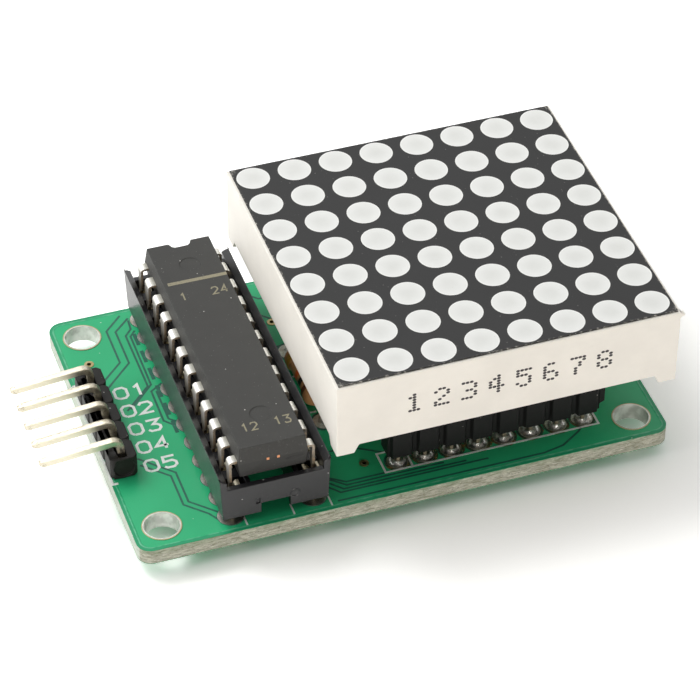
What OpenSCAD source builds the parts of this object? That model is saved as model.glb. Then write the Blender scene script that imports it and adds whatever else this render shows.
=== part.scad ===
// LED dot-matrix display module: a square block of light dots plugged on a small
// driver board, with a socketed driver chip and a right-angle pin header.
// The origin is the centre of the four mounting holes, on the underside of the
// board. +X runs towards the display end and +Z up through the display's face.

/* [Board] */
// Length of the circuit board
board_l = 50; // [49:0.5:60]
// Width of the circuit board
board_w = 32; // [31.5:0.5:40]
// Thickness of the circuit board
board_t = 1.6; // [1:0.1:2.4]
// Radius of the board's rounded corners
board_corner = 1.35; // [0.4:0.05:2]
// Bore of the plated mounting holes
mount_hole_d = 3.2; // [2.6:0.1:3.4]
// Width of the plated ring around each mounting hole
mount_ring_w = 0.2; // [0.1:0.05:0.4]
// Distance of each mounting hole from the two edges at its corner
mount_inset = 2.75; // [2.5:0.05:3.2]

/* [Pins and pads] */
// Pitch of the pins in every row
pin_pitch = 2.54; // [2.5:0.01:2.6]
// Hole drilled for each lead
drill_d = 1.1; // [1.05:0.05:1.3]
// Outer diameter of the plated pad around each lead
pad_d = 2; // [1.8:0.05:2.1]
// Outer diameter of the larger pads under the chip socket
socket_pad_d = 2.4; // [1.9:0.05:2.4]
// Thickness of the copper and tin on pads and in holes
plating_t = 0.05; // [0.03:0.01:0.05]
// Length of cut lead below the board
tail_l = 1.4; // [1.2:0.1:3]
// Length of bare lead tip below each solder joint
bare_tip_l = 0.35; // [0.1:0.05:0.6]
// Height of the solder fillets on top of the board
fillet_h = 0.35; // [0.2:0.05:0.6]
// Diameter of the small through-holes that join the two copper sides
via_d = 0.5; // [0.4:0.05:0.7]
// Outer diameter of the plated ring around each of them
via_ring_d = 0.9; // [0.8:0.05:1.2]
// Place of the small through-hole beside the header, from the header's centre
header_via_off = [0.97, 9.4];
// Distance of the unused output holes from the board's end
output_inset = 1.4; // [1.3:0.1:1.6]

/* [Pin header] */
// Number of pins on the right-angle header
header_count = 5; // [3:1:6]
// Width of the header strip
header_w = 2.5; // [2.4:0.05:2.8]
// Height of the header strip
header_h = 2.25; // [2.1:0.05:2.8]
// Distance of the header strip from the board's end
header_edge = 0.15; // [0:0.05:0.4]
// Width of the channel that the pins stand in
header_channel_w = 0.7; // [0.7:0.05:1]
// Depth of that channel
header_channel_h = 1.1; // [0.6:0.05:1.4]
// Step from the raised block down to the dimpled ledge
header_step = 0.15; // [0.05:0.05:0.4]
// Diameter of the dimple in each ledge
dimple_d = 0.8; // [0.5:0.05:0.84]
// Depth of the notch between two cells
cell_notch = 0.35; // [0.15:0.05:0.4]
// Depth of the crease across the raised block between two cells
cell_crease = 0.1; // [0.05:0.05:0.2]
// Diameter of the round recess in the strip's front end
recess_d = 1.9; // [1.2:0.05:2]
// Side of the square pins
pin_w = 0.64; // [0.5:0.02:0.66]
// Height of the pins' centre line above the board
pin_run_z = 3.4; // [3.3:0.05:5]
// Length of the pins beyond the board's end
pin_reach = 6.05; // [4:0.05:9]
// Radius of the pins' bend at their centre line
pin_bend_r = 0.7; // [0.4:0.05:0.9]
// Length of the tapered pin tips
pin_tip_l = 0.4; // [0.2:0.05:1]
// Angle by which the pins are bent past level
pin_droop = 5; // [0:0.5:8]

/* [Chip socket] */
// Number of leads on each side of the chip
lead_count = 12; // [8:1:12]
// Width of the socket
socket_w = 10.16; // [10:0.02:10.4]
// Distance of the rows of leads from the socket's sides
row_inset = 1.27; // [1.2:0.01:1.3]
// Length of socket past the last lead centre
socket_end = 1.27; // [1.2:0.01:1.4]
// Gap between the socket and the display block
socket_gap = 0.25; // [0.2:0.05:0.6]
// Height of the feet under the socket
socket_foot_h = 0.9; // [0.6:0.05:1.1]
// Height of the socket's contact rails above the board
rail_top_z = 3.85; // [3.6:0.05:4.2]
// Height of the socket's end walls above the board
end_wall_z = 4.3; // [4:0.05:4.5]
// Height of the socket's long side walls above the board
side_wall_z = 5.6; // [4.8:0.05:6]
// Thickness of the long side walls
side_wall_t = 0.65; // [0.5:0.05:0.7]
// Rounding of the side walls' upper corners at their ends
side_wall_r = 0.45; // [0.2:0.05:0.7]
// Fall of the side walls' tops towards the chip
side_wall_slope = 0.45; // [0.1:0.05:0.6]
// Inward lean of the side walls' outer faces towards their feet
side_wall_draft = 0.22; // [0.05:0.01:0.3]
// Thickness of the socket's end walls
end_wall_t = 0.57; // [0.4:0.01:0.6]
// Width of the contact rails, side wall included
rail_w = 3.1; // [2.9:0.05:3.2]
// Thickness of the floor under the contact chambers
chamber_floor = 0.6; // [0.4:0.05:0.8]
// Thickness of the rails' inner wall
rail_wall_t = 0.45; // [0.3:0.05:0.5]
// Width of the cross bars between the rails
cross_bar_w = 2; // [1.5:0.1:3]
// Thickness of the cross bars
cross_bar_t = 1.5; // [1:0.1:1.8]
// Width of the rectangular gap under each end wall
end_gap_w = 2.65; // [1.5:0.05:3]
// Top of that gap above the board
end_gap_z = 1.95; // [1.2:0.05:2.4]
// Diameter of the round mark on the socket's front wall
front_mark_d = 0.85; // [0.5:0.05:1]
// Height of that mark's centre above the board
front_mark_z = 2.3; // [2:0.05:3]
// Thickness of the contacts' sheet metal
contact_t = 0.2; // [0.15:0.01:0.22]
// Reach of the contacts' inner leaves from the lead they grip
contact_reach = 0.94; // [0.8:0.02:1.1]

/* [Driver chip] */
// Gap between the leads and the sides of the chip's body at its parting line
chip_side_gap = 0.485; // [0.4:0.005:0.65]
// Length of body past the last lead centre
chip_end = 0.63; // [0.5:0.01:0.8]
// Thickness of the chip's body
chip_h = 3.3; // [3:0.05:3.6]
// Height of the body's underside above the socket's end walls
chip_standoff = 0.5; // [0.3:0.05:0.8]
// Inward lean of the body's upper and lower sides
chip_draft = 0.2; // [0.05:0.01:0.3]
// Width of the notch in the chip's back end, at its mouth
chip_notch_w = 2.25; // [1.8:0.05:2.8]
// Width of that notch at its floor
chip_notch_floor_w = 1.5; // [1:0.05:1.7]
// Depth of that notch
chip_notch_l = 0.85; // [0.5:0.05:1.2]
// Diameter of the round ejector marks
ejector_d = 1.95; // [1:0.05:2.2]
// Distance of the ejector marks from the chip's ends
ejector_inset = 3.85; // [3:0.05:5]
// Thickness of the chip's leads
lead_t = 0.25; // [0.2:0.01:0.3]
// Width of the leads' shoulders
shoulder_w = 1.25; // [1:0.05:1.35]
// Reach of the end leads' cut-back shoulders past their centre
corner_half_w = 0.25; // [0.25:0.05:0.6]
// Width of the leads' lower ends
lead_w = 0.46; // [0.4:0.02:0.5]

/* [Display] */
// Number of dots along each side
dot_count = 8; // [5:1:8]
// Distance between dot centres
dot_pitch = 4; // [3.8:0.05:4.05]
// Diameter of the dots
dot_d = 3.1; // [2.4:0.05:3.3]
// Height of the block from its face to the rim of its walls
housing_h = 7.1; // [6.6:0.1:9]
// Thickness of the block's walls
housing_wall = 1.2; // [0.8:0.05:1.3]
// Height of the corner feet below the rim
foot_h = 0.9; // [0.3:0.05:1.4]
// Width of the corner feet at their ends
foot_tip_w = 1.65; // [1:0.05:2]
// Growth of the feet's width from their ends to the rim
foot_flare = 0.45; // [0.1:0.05:0.8]
// Length of the stub left where the moulding gate was cut off
gate_stub_l = 0.4; // [0.1:0.05:0.6]
// Thickness of the dark face layer
face_t = 0.15; // [0.1:0.05:0.3]
// Width of the pale edge left around the face layer
face_margin = 0.25; // [0.1:0.05:0.4]
// Depth of the light wells under the face layer
well_h = 3.6; // [2.5:0.1:3.8]
// Diameter of the light wells at their floor
well_floor_d = 2; // [1.4:0.1:2.2]
// Thickness of the display's own circuit board
led_board_t = 0.8; // [0.6:0.1:1]
// Gap around that board
led_board_gap = 0.15; // [0.05:0.05:0.3]
// Side of each light-emitting chip
led_chip_w = 0.35; // [0.2:0.05:0.5]
// Height of each light-emitting chip
led_chip_h = 0.2; // [0.1:0.05:0.3]
// Depth of the sealed back inside the rim
seal_recess = 1.6; // [1.5:0.1:1.9]
// Distance between the display's two rows of pins
display_row_w = 24; // [22:0.2:25]
// Side of the display's square pins
display_pin_w = 0.5; // [0.4:0.02:0.56]
// Length of the display's pins below the sealed back
display_pin_l = 5; // [3.5:0.1:5.4]

/* [Display headers] */
// Width of the two headers that the display plugs into
plug_w = 2.5; // [2.4:0.05:2.8]
// Height of those headers
plug_h = 7; // [6.8:0.1:8.5]
// Height at which the headers' pins hold them above the board
plug_lift = 1.6; // [1:0.1:2]
// Width of the groove between two cells of the headers
groove_w = 0.75; // [0.4:0.05:0.9]
// Depth of that groove
groove_h = 0.35; // [0.15:0.05:0.4]
// Length of the rough stub where the strip was broken off
stub_l = 0.6; // [0.3:0.05:0.9]
// Height of that stub's foot above the header's underside
stub_low = 0.6; // [0.3:0.1:1]
// Distance of that stub's top below the display
stub_gap = 1.4; // [1:0.1:2]

/* [Loose components] */
// Place of the resistor from the display's centre
resistor_off = [-13.5, 0.2];
// Place of the disc capacitor from the display's centre
disc_off = [-5, 5];
// Place of the can capacitor from the display's centre
can_off = [1, -2];
// Distance between the resistor's leads
resistor_span = 10.16; // [9.4:0.02:12]
// Length of the resistor's body
resistor_l = 6.3; // [5:0.1:6.8]
// Diameter of the resistor's body
resistor_d = 2.4; // [2:0.05:2.5]
// Diameter of the components' leads
wire_d = 0.5; // [0.4:0.02:0.6]
// Radius of the bend in the resistor's leads
wire_bend_r = 0.6; // [0.4:0.05:0.8]
// Diameter of the disc capacitor
disc_d = 5; // [4:0.1:5.6]
// Thickness of the disc capacitor
disc_t = 2; // [1.6:0.1:2.4]
// Height of the disc capacitor above the board
disc_lift = 1.2; // [0.6:0.1:1.8]
// Diameter of the can capacitor
can_d = 5; // [4:0.1:5.6]
// Height of the can capacitor
can_h = 7; // [5:0.1:7.4]
// Thickness of the sleeve around the can
sleeve_t = 0.15; // [0.1:0.05:0.25]
// Height of the rubber bung in the can
bung_h = 0.8; // [0.5:0.05:1.2]

/* [Hidden] */

// Facets of lead holes, pads, wires and joints, and of larger round pieces
small_fn = 24;
large_fn = 48;
// Small allowance by which a cutting shape runs past the face it cuts
cut = 0.5;
top_z = board_t;
pad_top_z = top_z + plating_t;
bore_d = drill_d - 2 * plating_t;

// Plan of the board, from its ends inwards
lead_row_w = socket_w - 2 * row_inset;
display_side = dot_count * dot_pitch;
display_x = board_l / 2 - display_side / 2;
socket_x = display_x - display_side / 2 - socket_gap - socket_w / 2;
header_x = header_edge + header_w / 2 - board_l / 2;
output_x = board_l / 2 - output_inset;
display_via_off = [[-11.83, -11.34], [-13.75, 9.75], [6.2, 2.4]];
display_at = [display_x, 0];
resistor_at = display_at + resistor_off;
disc_at = display_at + disc_off;
disc_span = 2.54;
disc_embed = 1.2;
disc_turn = 30;
can_at = display_at + can_off;
can_span = 2;
via_at = concat([[header_x, 0] + header_via_off], [for (off = display_via_off) display_at + off]);

// Levels of the display, from the headers' seat up to its face
seal_z = top_z + plug_lift + plug_h;
rim_z = seal_z - seal_recess;
face_z = rim_z + housing_h;
body_top_z = face_z - face_t;
led_board_top_z = body_top_z - well_h;
led_board_z = led_board_top_z - led_board_t;
cavity_w = display_side - 2 * housing_wall;

// Levels of the chip and its leads
rail_z = top_z + rail_top_z;
chip_z = top_z + end_wall_z + chip_standoff;
chip_mid_z = chip_z + chip_h / 2;
chip_l = (lead_count - 1) * pin_pitch + 2 * chip_end;
chip_w = lead_row_w - lead_t - 2 * chip_side_gap;
lead_out_x = lead_row_w / 2 + lead_t / 2;
lead_in_x = lead_out_x - lead_t;
lead_embed = 0.6;
lead_bend_r = 0.35;
lead_tip_z = top_z + socket_foot_h + chamber_floor + contact_t + 0.3;
lead_slot_clear = 0.01;

// Socket, seen from its centre
socket_l = (lead_count - 1) * pin_pitch + 2 * socket_end;
socket_z = top_z + socket_foot_h;
chamber_l = 2 * (socket_end - end_wall_t);
chamber_in_x = socket_w / 2 - rail_w + rail_wall_t;
chamber_out_x = socket_w / 2 - side_wall_t;
chamber_z = socket_z + chamber_floor;
tail_w = 0.5;
tail_t = 0.25;
contact_w = chamber_l - 0.4;
foot_l = 1.2;
foot_out_x = lead_row_w / 2 - socket_pad_d / 2 - 0.05;

// Points of an arc about c, from angle a0 to a1
function arc(c, r, a0, a1, n) =
    [for (i = [0:n]) let (a = a0 + (a1 - a0) * i / n) c + r * [cos(a), sin(a)]];

// Copies of a piece in a row, centred on the origin
module row_y(n, pitch) {
    for (i = [0:n - 1]) translate([0, (i - (n - 1) / 2) * pitch, 0]) children();
}
module row_x(n, pitch) {
    for (i = [0:n - 1]) translate([(i - (n - 1) / 2) * pitch, 0, 0]) children();
}
module both_sides(x) {
    for (side = [0, 1]) mirror([side, 0, 0]) translate([x, 0, 0]) children();
}

// Where the leads pass through the board
module at_socket_pins() {
    translate([socket_x, 0, 0]) both_sides(lead_row_w / 2) row_y(lead_count, pin_pitch) children();
}
module at_header_pins() {
    translate([header_x, 0, 0]) row_y(header_count, pin_pitch) children();
}
module at_output_holes() {
    translate([output_x, 0, 0]) row_y(header_count, pin_pitch) children();
}
module at_plug_pins(side) {
    translate([display_x, side * display_row_w / 2, 0]) row_x(dot_count, pin_pitch) children();
}
module at_resistor_ends() {
    translate(resistor_at)
        for (side = [0, 1]) mirror([0, side, 0]) translate([0, resistor_span / 2, 0]) children();
}
module at_disc_legs() {
    translate(disc_at) row_x(2, disc_span) children();
}
module at_can_legs() {
    translate(can_at) row_y(2, can_span) children();
}
module at_component_legs() {
    at_resistor_ends() children();
    at_disc_legs() children();
    at_can_legs() children();
}
module at_small_pads() {
    at_header_pins() children();
    at_output_holes() children();
    at_plug_pins(-1) children();
    at_plug_pins(1) children();
    at_component_legs() children();
}
module at_leads() {
    at_socket_pins() children();
    at_small_pads() children();
}
module at_mounts() {
    for (x = [-1, 1], y = [-1, 1])
        translate([x * (board_l / 2 - mount_inset), y * (board_w / 2 - mount_inset), 0]) children();
}
module at_vias() {
    for (p = via_at) translate(p) children();
}

// A plated hole through the board: a barrel with a flat ring at each end
module eyelet(hole_d, ring_d) {
    rotate_extrude($fn = small_fn) polygon([
        [hole_d / 2 - plating_t, -plating_t], [ring_d / 2, -plating_t],
        [ring_d / 2, 0], [hole_d / 2, 0], [hole_d / 2, top_z],
        [ring_d / 2, top_z], [ring_d / 2, pad_top_z], [hole_d / 2 - plating_t, pad_top_z]
    ]);
}

// A solder joint: a hollow-sided cone under the board, a filled hole and, where
// the joint is open to view, a low fillet on top. The lead's section is left out.
module joint(lead, on_top) {
    tip_z = -(tail_l - bare_tip_l);
    foot_r = pad_d / 2 - 0.1;
    tip_r = 0.52;
    cone_h = -plating_t - tip_z;
    cone_w = foot_r - tip_r;
    under = [for (p = arc([1, 0], 1, 180, 90, 4))
        [tip_r + p[0] * cone_w, tip_z + p[1] * cone_h]];
    over = [for (p = arc([1, 0], 1, 90, 180, 4))
        [tip_r + p[0] * cone_w, pad_top_z + (1 - p[1]) * fillet_h]];
    filled = [[bore_d / 2, -plating_t], [bore_d / 2, on_top ? pad_top_z : top_z]];
    difference() {
        rotate_extrude($fn = small_fn) polygon(concat(
            [[0, tip_z]], under, filled,
            on_top ? over : [],
            [[0, on_top ? pad_top_z + fillet_h : top_z]]
        ));
        translate([0, 0, -tail_l - cut]) linear_extrude(tail_l + top_z + fillet_h + 2 * cut)
            lead_section(lead);
    }
}

// Section of a lead: [d] is round, [x, y] is rectangular
module lead_section(lead) {
    if (len(lead) == 1) circle(d = lead[0], $fn = small_fn);
    else square(lead, center = true);
}

module circuit_board() {
    r = board_corner;
    color("mediumseagreen") difference() {
        union() {
            translate([-board_l / 2, r - board_w / 2, 0]) cube([board_l, board_w - 2 * r, board_t]);
            translate([r - board_l / 2, -board_w / 2, 0]) cube([board_l - 2 * r, board_w, board_t]);
            for (x = [-1, 1], y = [-1, 1])
                translate([x * (board_l / 2 - r), y * (board_w / 2 - r), 0])
                    cylinder(h = board_t, r = r, $fn = large_fn);
        }
        at_mounts() through_hole(mount_hole_d + 2 * plating_t);
        at_leads() through_hole(drill_d);
        at_vias() through_hole(via_d);
    }
}

module through_hole(d) {
    translate([0, 0, -cut]) cylinder(h = board_t + 2 * cut, d = d, $fn = small_fn);
}

module mounting_hole_plating() {
    color("silver") at_mounts()
        eyelet(mount_hole_d + 2 * plating_t, mount_hole_d + 2 * mount_ring_w);
}

module plated_pads() {
    color("silver") {
        at_small_pads() eyelet(drill_d, pad_d);
        at_socket_pins() eyelet(drill_d, socket_pad_d);
    }
}

module via_plating() {
    color("goldenrod") at_vias() eyelet(via_d, via_ring_d);
}

// Plastic strip: cells with notched corners, each with a dimpled ledge, a channel
// for its pin and a raised block, and a round recess in the strip's front end
module header_strip() {
    n = cell_notch;
    half_w = header_w / 2;
    half_cell = pin_pitch / 2;
    strip_l = header_count * pin_pitch;
    ledge_x = -(half_w + header_channel_w / 2) / 2;
    color("dimgray") translate([header_x, 0, pad_top_z]) difference() {
        row_y(header_count, pin_pitch) linear_extrude(header_h) polygon([
            [-half_w + n, -half_cell], [half_w - n, -half_cell], [half_w, -half_cell + n],
            [half_w, half_cell - n], [half_w - n, half_cell], [-half_w + n, half_cell],
            [-half_w, half_cell - n], [-half_w, -half_cell + n]
        ]);
        translate([-header_channel_w / 2, -strip_l / 2 + 0.3, header_h - header_channel_h])
            cube([header_channel_w, strip_l - 0.6, header_h]);
        translate([-half_w - cut, -strip_l / 2 + 0.3, header_h - header_step])
            cube([half_w + cut, strip_l - 0.6, header_h]);
        row_y(header_count, pin_pitch) {
            translate([ledge_x, 0, header_h - header_step - 0.12])
                cylinder(h = header_h, d = dimple_d, $fn = small_fn);
            translate([-pin_w / 2, -pin_w / 2, -cut])
                cube([pin_w, pin_w, header_h + 2 * cut]);
        }
        for (i = [1:header_count - 1])
            translate([0, i * pin_pitch - strip_l / 2, header_h - cell_crease]) rotate([45, 0, 0])
                cube([half_w + cut, 2 * cell_crease, 2 * cell_crease]);
        translate([0, -strip_l / 2 + 0.15, header_h / 2]) rotate([90, 0, 0])
            cylinder(h = 1, d = recess_d, $fn = small_fn);
    }
}

// Square pins: up through the strip, round a bend a little past level and out
// past the board's end
module header_pins() {
    run_z = top_z + pin_run_z;
    bend_x = header_x - pin_bend_r;
    run_l = (bend_x + board_l / 2 + pin_reach - pin_bend_r * sin(pin_droop)) / cos(pin_droop);
    color("lightgray") row_y(header_count, pin_pitch) {
        translate([header_x - pin_w / 2, -pin_w / 2, -tail_l])
            cube([pin_w, pin_w, tail_l + run_z - pin_bend_r]);
        translate([bend_x, 0, run_z - pin_bend_r]) {
            rotate([90, 0, 0]) rotate_extrude(angle = 90 + pin_droop, $fn = large_fn)
                translate([pin_bend_r - pin_w / 2, -pin_w / 2]) square(pin_w);
            rotate([0, -pin_droop, 0]) intersection() {
                translate([0, pin_w / 2, pin_bend_r]) rotate([90, 0, 0])
                    linear_extrude(pin_w) pin_outline(run_l);
                translate([0, 0, pin_bend_r - pin_w / 2])
                    linear_extrude(pin_w) pin_outline(run_l);
            }
        }
    }
}

module pin_outline(run_l) {
    h = pin_w / 2;
    polygon([
        [-run_l, -h * 0.6], [pin_tip_l - run_l, -h], [0, -h],
        [0, h], [pin_tip_l - run_l, h], [-run_l, h * 0.6]
    ]);
}

module header_solder() {
    color("silver") at_header_pins() joint([pin_w, pin_w], false);
}

// Socket: two rails of contact chambers behind side walls that lean and slope,
// joined by low end walls and two cross bars
module socket_frame() {
    half_w = socket_w / 2;
    half_l = socket_l / 2;
    wall_h = top_z + side_wall_z - socket_z;
    end_h = top_z + end_wall_z - socket_z;
    color([0.16, 0.16, 0.17]) translate([socket_x, 0, socket_z]) difference() {
        union() {
            both_sides(0) translate([0, half_l, 0]) rotate([90, 0, 0])
                linear_extrude(socket_l) socket_section(half_w, wall_h);
            for (side = [-1, 1]) {
                translate([0, side * (half_l - end_wall_t / 2), end_h / 2])
                    cube([socket_w - side_wall_t, end_wall_t, end_h], center = true);
                translate([0, side * lead_count * pin_pitch / 6, cross_bar_t / 2])
                    cube([socket_w - 2 * rail_w + cut, cross_bar_w, cross_bar_t], center = true);
            }
            both_sides(half_w - rail_w) for (y = [-1, 1])
                translate([0, y * (half_l - socket_end - pin_pitch / 2) - foot_l / 2, -socket_foot_h])
                    cube([rail_w - half_w + foot_out_x, foot_l, socket_foot_h + 0.1]);
        }
        both_sides(0) row_y(lead_count, pin_pitch) {
            translate([chamber_in_x, -chamber_l / 2, chamber_z - socket_z])
                cube([chamber_out_x - chamber_in_x, chamber_l, rail_z]);
            translate([lead_row_w / 2 - tail_t / 2, -tail_w / 2, -cut])
                cube([tail_t, tail_w, chamber_floor + 2 * cut]);
        }
        for (side = [0, 1]) mirror([0, side, 0]) {
            translate([-half_w - cut, 0, 0]) rotate([90, 0, 90])
                linear_extrude(socket_w + 2 * cut) wall_corner(half_l, wall_h);
            translate([-end_gap_w / 2, half_l - end_wall_t - cut, -cut])
                cube([end_gap_w, end_wall_t + 2 * cut, top_z + end_gap_z - socket_z + cut]);
        }
        translate([-end_gap_w / 2 - 0.475, -half_l - cut, end_gap_z - socket_foot_h])
            cube([0.35, cut + 0.2, 0.6]);
        translate([end_gap_w / 2 + 0.45, -half_l + 0.06, front_mark_z - socket_foot_h])
            rotate([90, 0, 0]) cylinder(h = cut, d = front_mark_d, $fn = small_fn);
    }
}

// Half of the socket's section: a rail and the side wall behind it
module socket_section(half_w, wall_h) {
    rail_h = rail_z - socket_z;
    polygon([
        [half_w - rail_w, 0], [half_w - side_wall_draft, 0], [half_w, wall_h],
        [half_w - side_wall_t, wall_h - side_wall_slope], [half_w - side_wall_t, rail_h],
        [half_w - rail_w, rail_h]
    ]);
}

// What is cut away outside the rounded upper corner of a side wall
module wall_corner(half_l, wall_h) {
    r = side_wall_r;
    polygon(concat(
        [[half_l + cut, wall_h - r]],
        arc([half_l - r, wall_h - r], r, 0, 90, 6),
        [[half_l - r, wall_h + cut], [half_l + cut, wall_h + cut]]
    ));
}

// Contacts: a folded strip with two springy leaves that grip the chip's lead, and
// a tail through the board
module socket_contacts() {
    color("gainsboro") at_socket_pins() {
        translate([-tail_t / 2, -tail_w / 2, -tail_l])
            cube([tail_t, tail_w, tail_l + chamber_z + contact_t]);
        translate([0, contact_w / 2, chamber_z]) rotate([90, 0, 0])
            linear_extrude(contact_w) contact_outline();
    }
}

// The outer leaf leans back to the side wall, and the inner one ends in a curled lip
module contact_outline() {
    reach = chamber_out_x - lead_row_w / 2 - 0.08;
    h = rail_z - chamber_z - 0.1;
    base_w = reach + 0.02;
    grip = lead_t / 2;
    t = contact_t;
    lip = contact_reach;
    polygon([
        [base_w, 0], [base_w, h * 0.3], [grip + t, h * 0.72], [reach, h],
        [reach - t, h], [grip, h * 0.76], [grip, h * 0.68],
        [base_w - t, h * 0.3], [base_w - t, t],
        [t - base_w, t], [t - base_w, h * 0.3], [-grip, h * 0.68], [-grip, h * 0.78],
        [0.52 - lip, h * 0.93], [0.28 - lip, h], [0.06 - lip, h], [-lip, h * 0.9],
        [0.16 - lip, h * 0.86], [0.24 - lip, h * 0.9], [0.44 - lip, h * 0.82],
        [-grip - t, h * 0.68], [-base_w, h * 0.3], [-base_w, 0]
    ]);
}

module socket_solder() {
    color("silver") at_socket_pins() joint([tail_t, tail_w], false);
}

// Moulded body: drafted above and below the parting line, with the notch at its
// back end and two shallow round ejector marks
module chip_body() {
    w = chip_w / 2;
    l = chip_l / 2;
    d = chip_draft;
    color([0.22, 0.22, 0.23]) translate([socket_x, 0, 0]) difference() {
        intersection() {
            translate([0, l, chip_z]) rotate([90, 0, 0]) linear_extrude(chip_l) chip_section(w, d);
            translate([-w, 0, chip_z]) rotate([90, 0, 90]) linear_extrude(chip_w) chip_section(l, d);
        }
        translate([0.15, l, chip_mid_z + 0.35]) linear_extrude(chip_h) notch_outline();
        for (side = [-1, 1])
            translate([0.15, side * (l - ejector_inset) + 0.2, chip_z + chip_h - 0.06])
                cylinder(h = 1, d = ejector_d, $fn = large_fn);
        lead_inserts();
    }
}

// Notch seen from above, its mouth at the body's end and its floor rounded at the corners
module notch_outline() {
    m = chip_notch_w / 2;
    f = chip_notch_floor_w / 2;
    e = 0.15;
    polygon([
        [-m - cut / 2, cut], [-m, -chip_draft / 2], [-f - e / 2, e - chip_notch_l], [-f + e, -chip_notch_l],
        [f - e, -chip_notch_l], [f + e / 2, e - chip_notch_l], [m, -chip_draft / 2], [m + cut / 2, cut]
    ]);
}

module chip_section(half, draft) {
    polygon([
        [-half + draft, 0], [half - draft, 0], [half, chip_h / 2],
        [half - draft, chip_h], [-half + draft, chip_h], [-half, chip_h / 2]
    ]);
}

// The parts of the lead frame that lie inside the body
module lead_inserts() {
    h = lead_t / 2;
    both_sides(0) for (i = [0:lead_count - 1])
        translate([chip_w / 2 - lead_embed, lead_y(i) + shoulder_lo(i), chip_mid_z - h])
            cube([lead_embed + cut, shoulder_hi(i) - shoulder_lo(i), lead_t]);
    for (x = [-0.48, 0.48], side = [0, 1]) mirror([0, side, 0])
        translate([x - 0.12, chip_l / 2 - lead_embed, chip_mid_z - h])
            cube([0.24, lead_embed + cut, lead_t]);
}

// Centre of a lead along its row, and its shoulder's reach to each side of it:
// the end leads are cut back on their outer side
function lead_y(i) = (i - (lead_count - 1) / 2) * pin_pitch;
function shoulder_lo(i) = i == 0 ? -corner_half_w : -shoulder_w / 2;
function shoulder_hi(i) = i == lead_count - 1 ? corner_half_w : shoulder_w / 2;

// Leads: flat shoulders that bend down and narrow to blades, and the cut ends of
// the frame's tie bars
module chip_leads() {
    color("whitesmoke") translate([socket_x, 0, 0]) {
        both_sides(0) for (i = [0:lead_count - 1]) translate([0, lead_y(i), 0]) intersection() {
            translate([0, shoulder_w, 0]) rotate([90, 0, 0])
                linear_extrude(2 * shoulder_w) lead_side_view();
            translate([chip_w / 2 - lead_embed - cut, 0, 0]) rotate([90, 0, 90])
                linear_extrude(lead_row_w) lead_front_view(shoulder_lo(i), shoulder_hi(i));
        }
        for (x = [-0.48, 0.48], side = [0, 1]) mirror([0, side, 0])
            translate([x - 0.12, chip_l / 2 - lead_embed, chip_mid_z - lead_t / 2])
                cube([0.24, lead_embed, lead_t]);
    }
}

module lead_side_view() {
    top = chip_mid_z + lead_t / 2;
    c = [lead_out_x - lead_bend_r, top - lead_bend_r];
    polygon(concat(
        [[chip_w / 2 - lead_embed, top - lead_t], [chip_w / 2 - lead_embed, top]],
        arc(c, lead_bend_r, 90, 0, 6),
        [[lead_out_x, lead_tip_z], [lead_in_x, lead_tip_z]],
        arc(c, lead_bend_r - lead_t, 0, 90, 4)
    ));
}

module lead_front_view(lo, hi) {
    b = lead_w / 2;
    lo_neck = min(-b, lo + 0.15);
    hi_neck = max(b, hi - 0.15);
    polygon([
        [lo, chip_mid_z + lead_t], [lo_neck, rail_z + 0.3], [-b, rail_z - 0.1],
        [-b, lead_tip_z + 0.3], [-b / 2, lead_tip_z], [b / 2, lead_tip_z], [b, lead_tip_z + 0.3],
        [b, rail_z - 0.1], [hi_neck, rail_z + 0.3], [hi, chip_mid_z + lead_t]
    ]);
}

// Sizes of the chambers and contacts inside the display's headers
plug_l = dot_count * pin_pitch;
plug_chamber = [1.5, 1.6];
plug_mouth = 0.8;
plug_tail = [0.3, 0.5];
plug_contact_w = 1.2;

// Header for one row of the display's pins, standing on the board's plane
module plug_housing() {
    color([0.2, 0.2, 0.21]) difference() {
        translate([-plug_l / 2, -plug_w / 2, 0]) cube([plug_l, plug_w, plug_h]);
        for (side = [0, 1]) mirror([0, side, 0]) row_x(dot_count + 1, pin_pitch)
            translate([0, plug_w / 2, -cut]) linear_extrude(plug_h + 2 * cut) polygon([
                [-groove_w / 2, 0], [-groove_w / 4, -groove_h], [groove_w / 4, -groove_h],
                [groove_w / 2, 0], [groove_w / 2, cut], [-groove_w / 2, cut]
            ]);
        row_x(dot_count, pin_pitch) {
            translate([-plug_chamber[0] / 2, -plug_chamber[1] / 2, -cut])
                cube([plug_chamber[0], plug_chamber[1], plug_h - 0.8 + cut]);
            translate([-plug_mouth / 2, -plug_mouth / 2, 0])
                cube([plug_mouth, plug_mouth, plug_h + cut]);
        }
    }
}

// Rough stub left where the strip was broken to length
module plug_stub() {
    color([0.45, 0.45, 0.46]) translate([plug_l / 2 - groove_w / 4, 0, stub_low])
        linear_extrude(plug_h - stub_low - stub_gap) polygon([
            [-0.4, -plug_w / 2 + groove_h], [0.1, -plug_w / 2 + groove_h],
            [stub_l + groove_w / 4, -plug_w / 2 + groove_h + 0.25],
            [stub_l * 0.7, -0.35], [0.1, 0], [-0.4, 0]
        ]);
}

module at_plug(side) {
    translate([display_x, side * display_row_w / 2, top_z + plug_lift]) children();
}

module front_plug_housing() {
    at_plug(-1) union() {
        plug_housing();
        plug_stub();
    }
}

module back_plug_housing() {
    at_plug(1) plug_housing();
}

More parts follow.
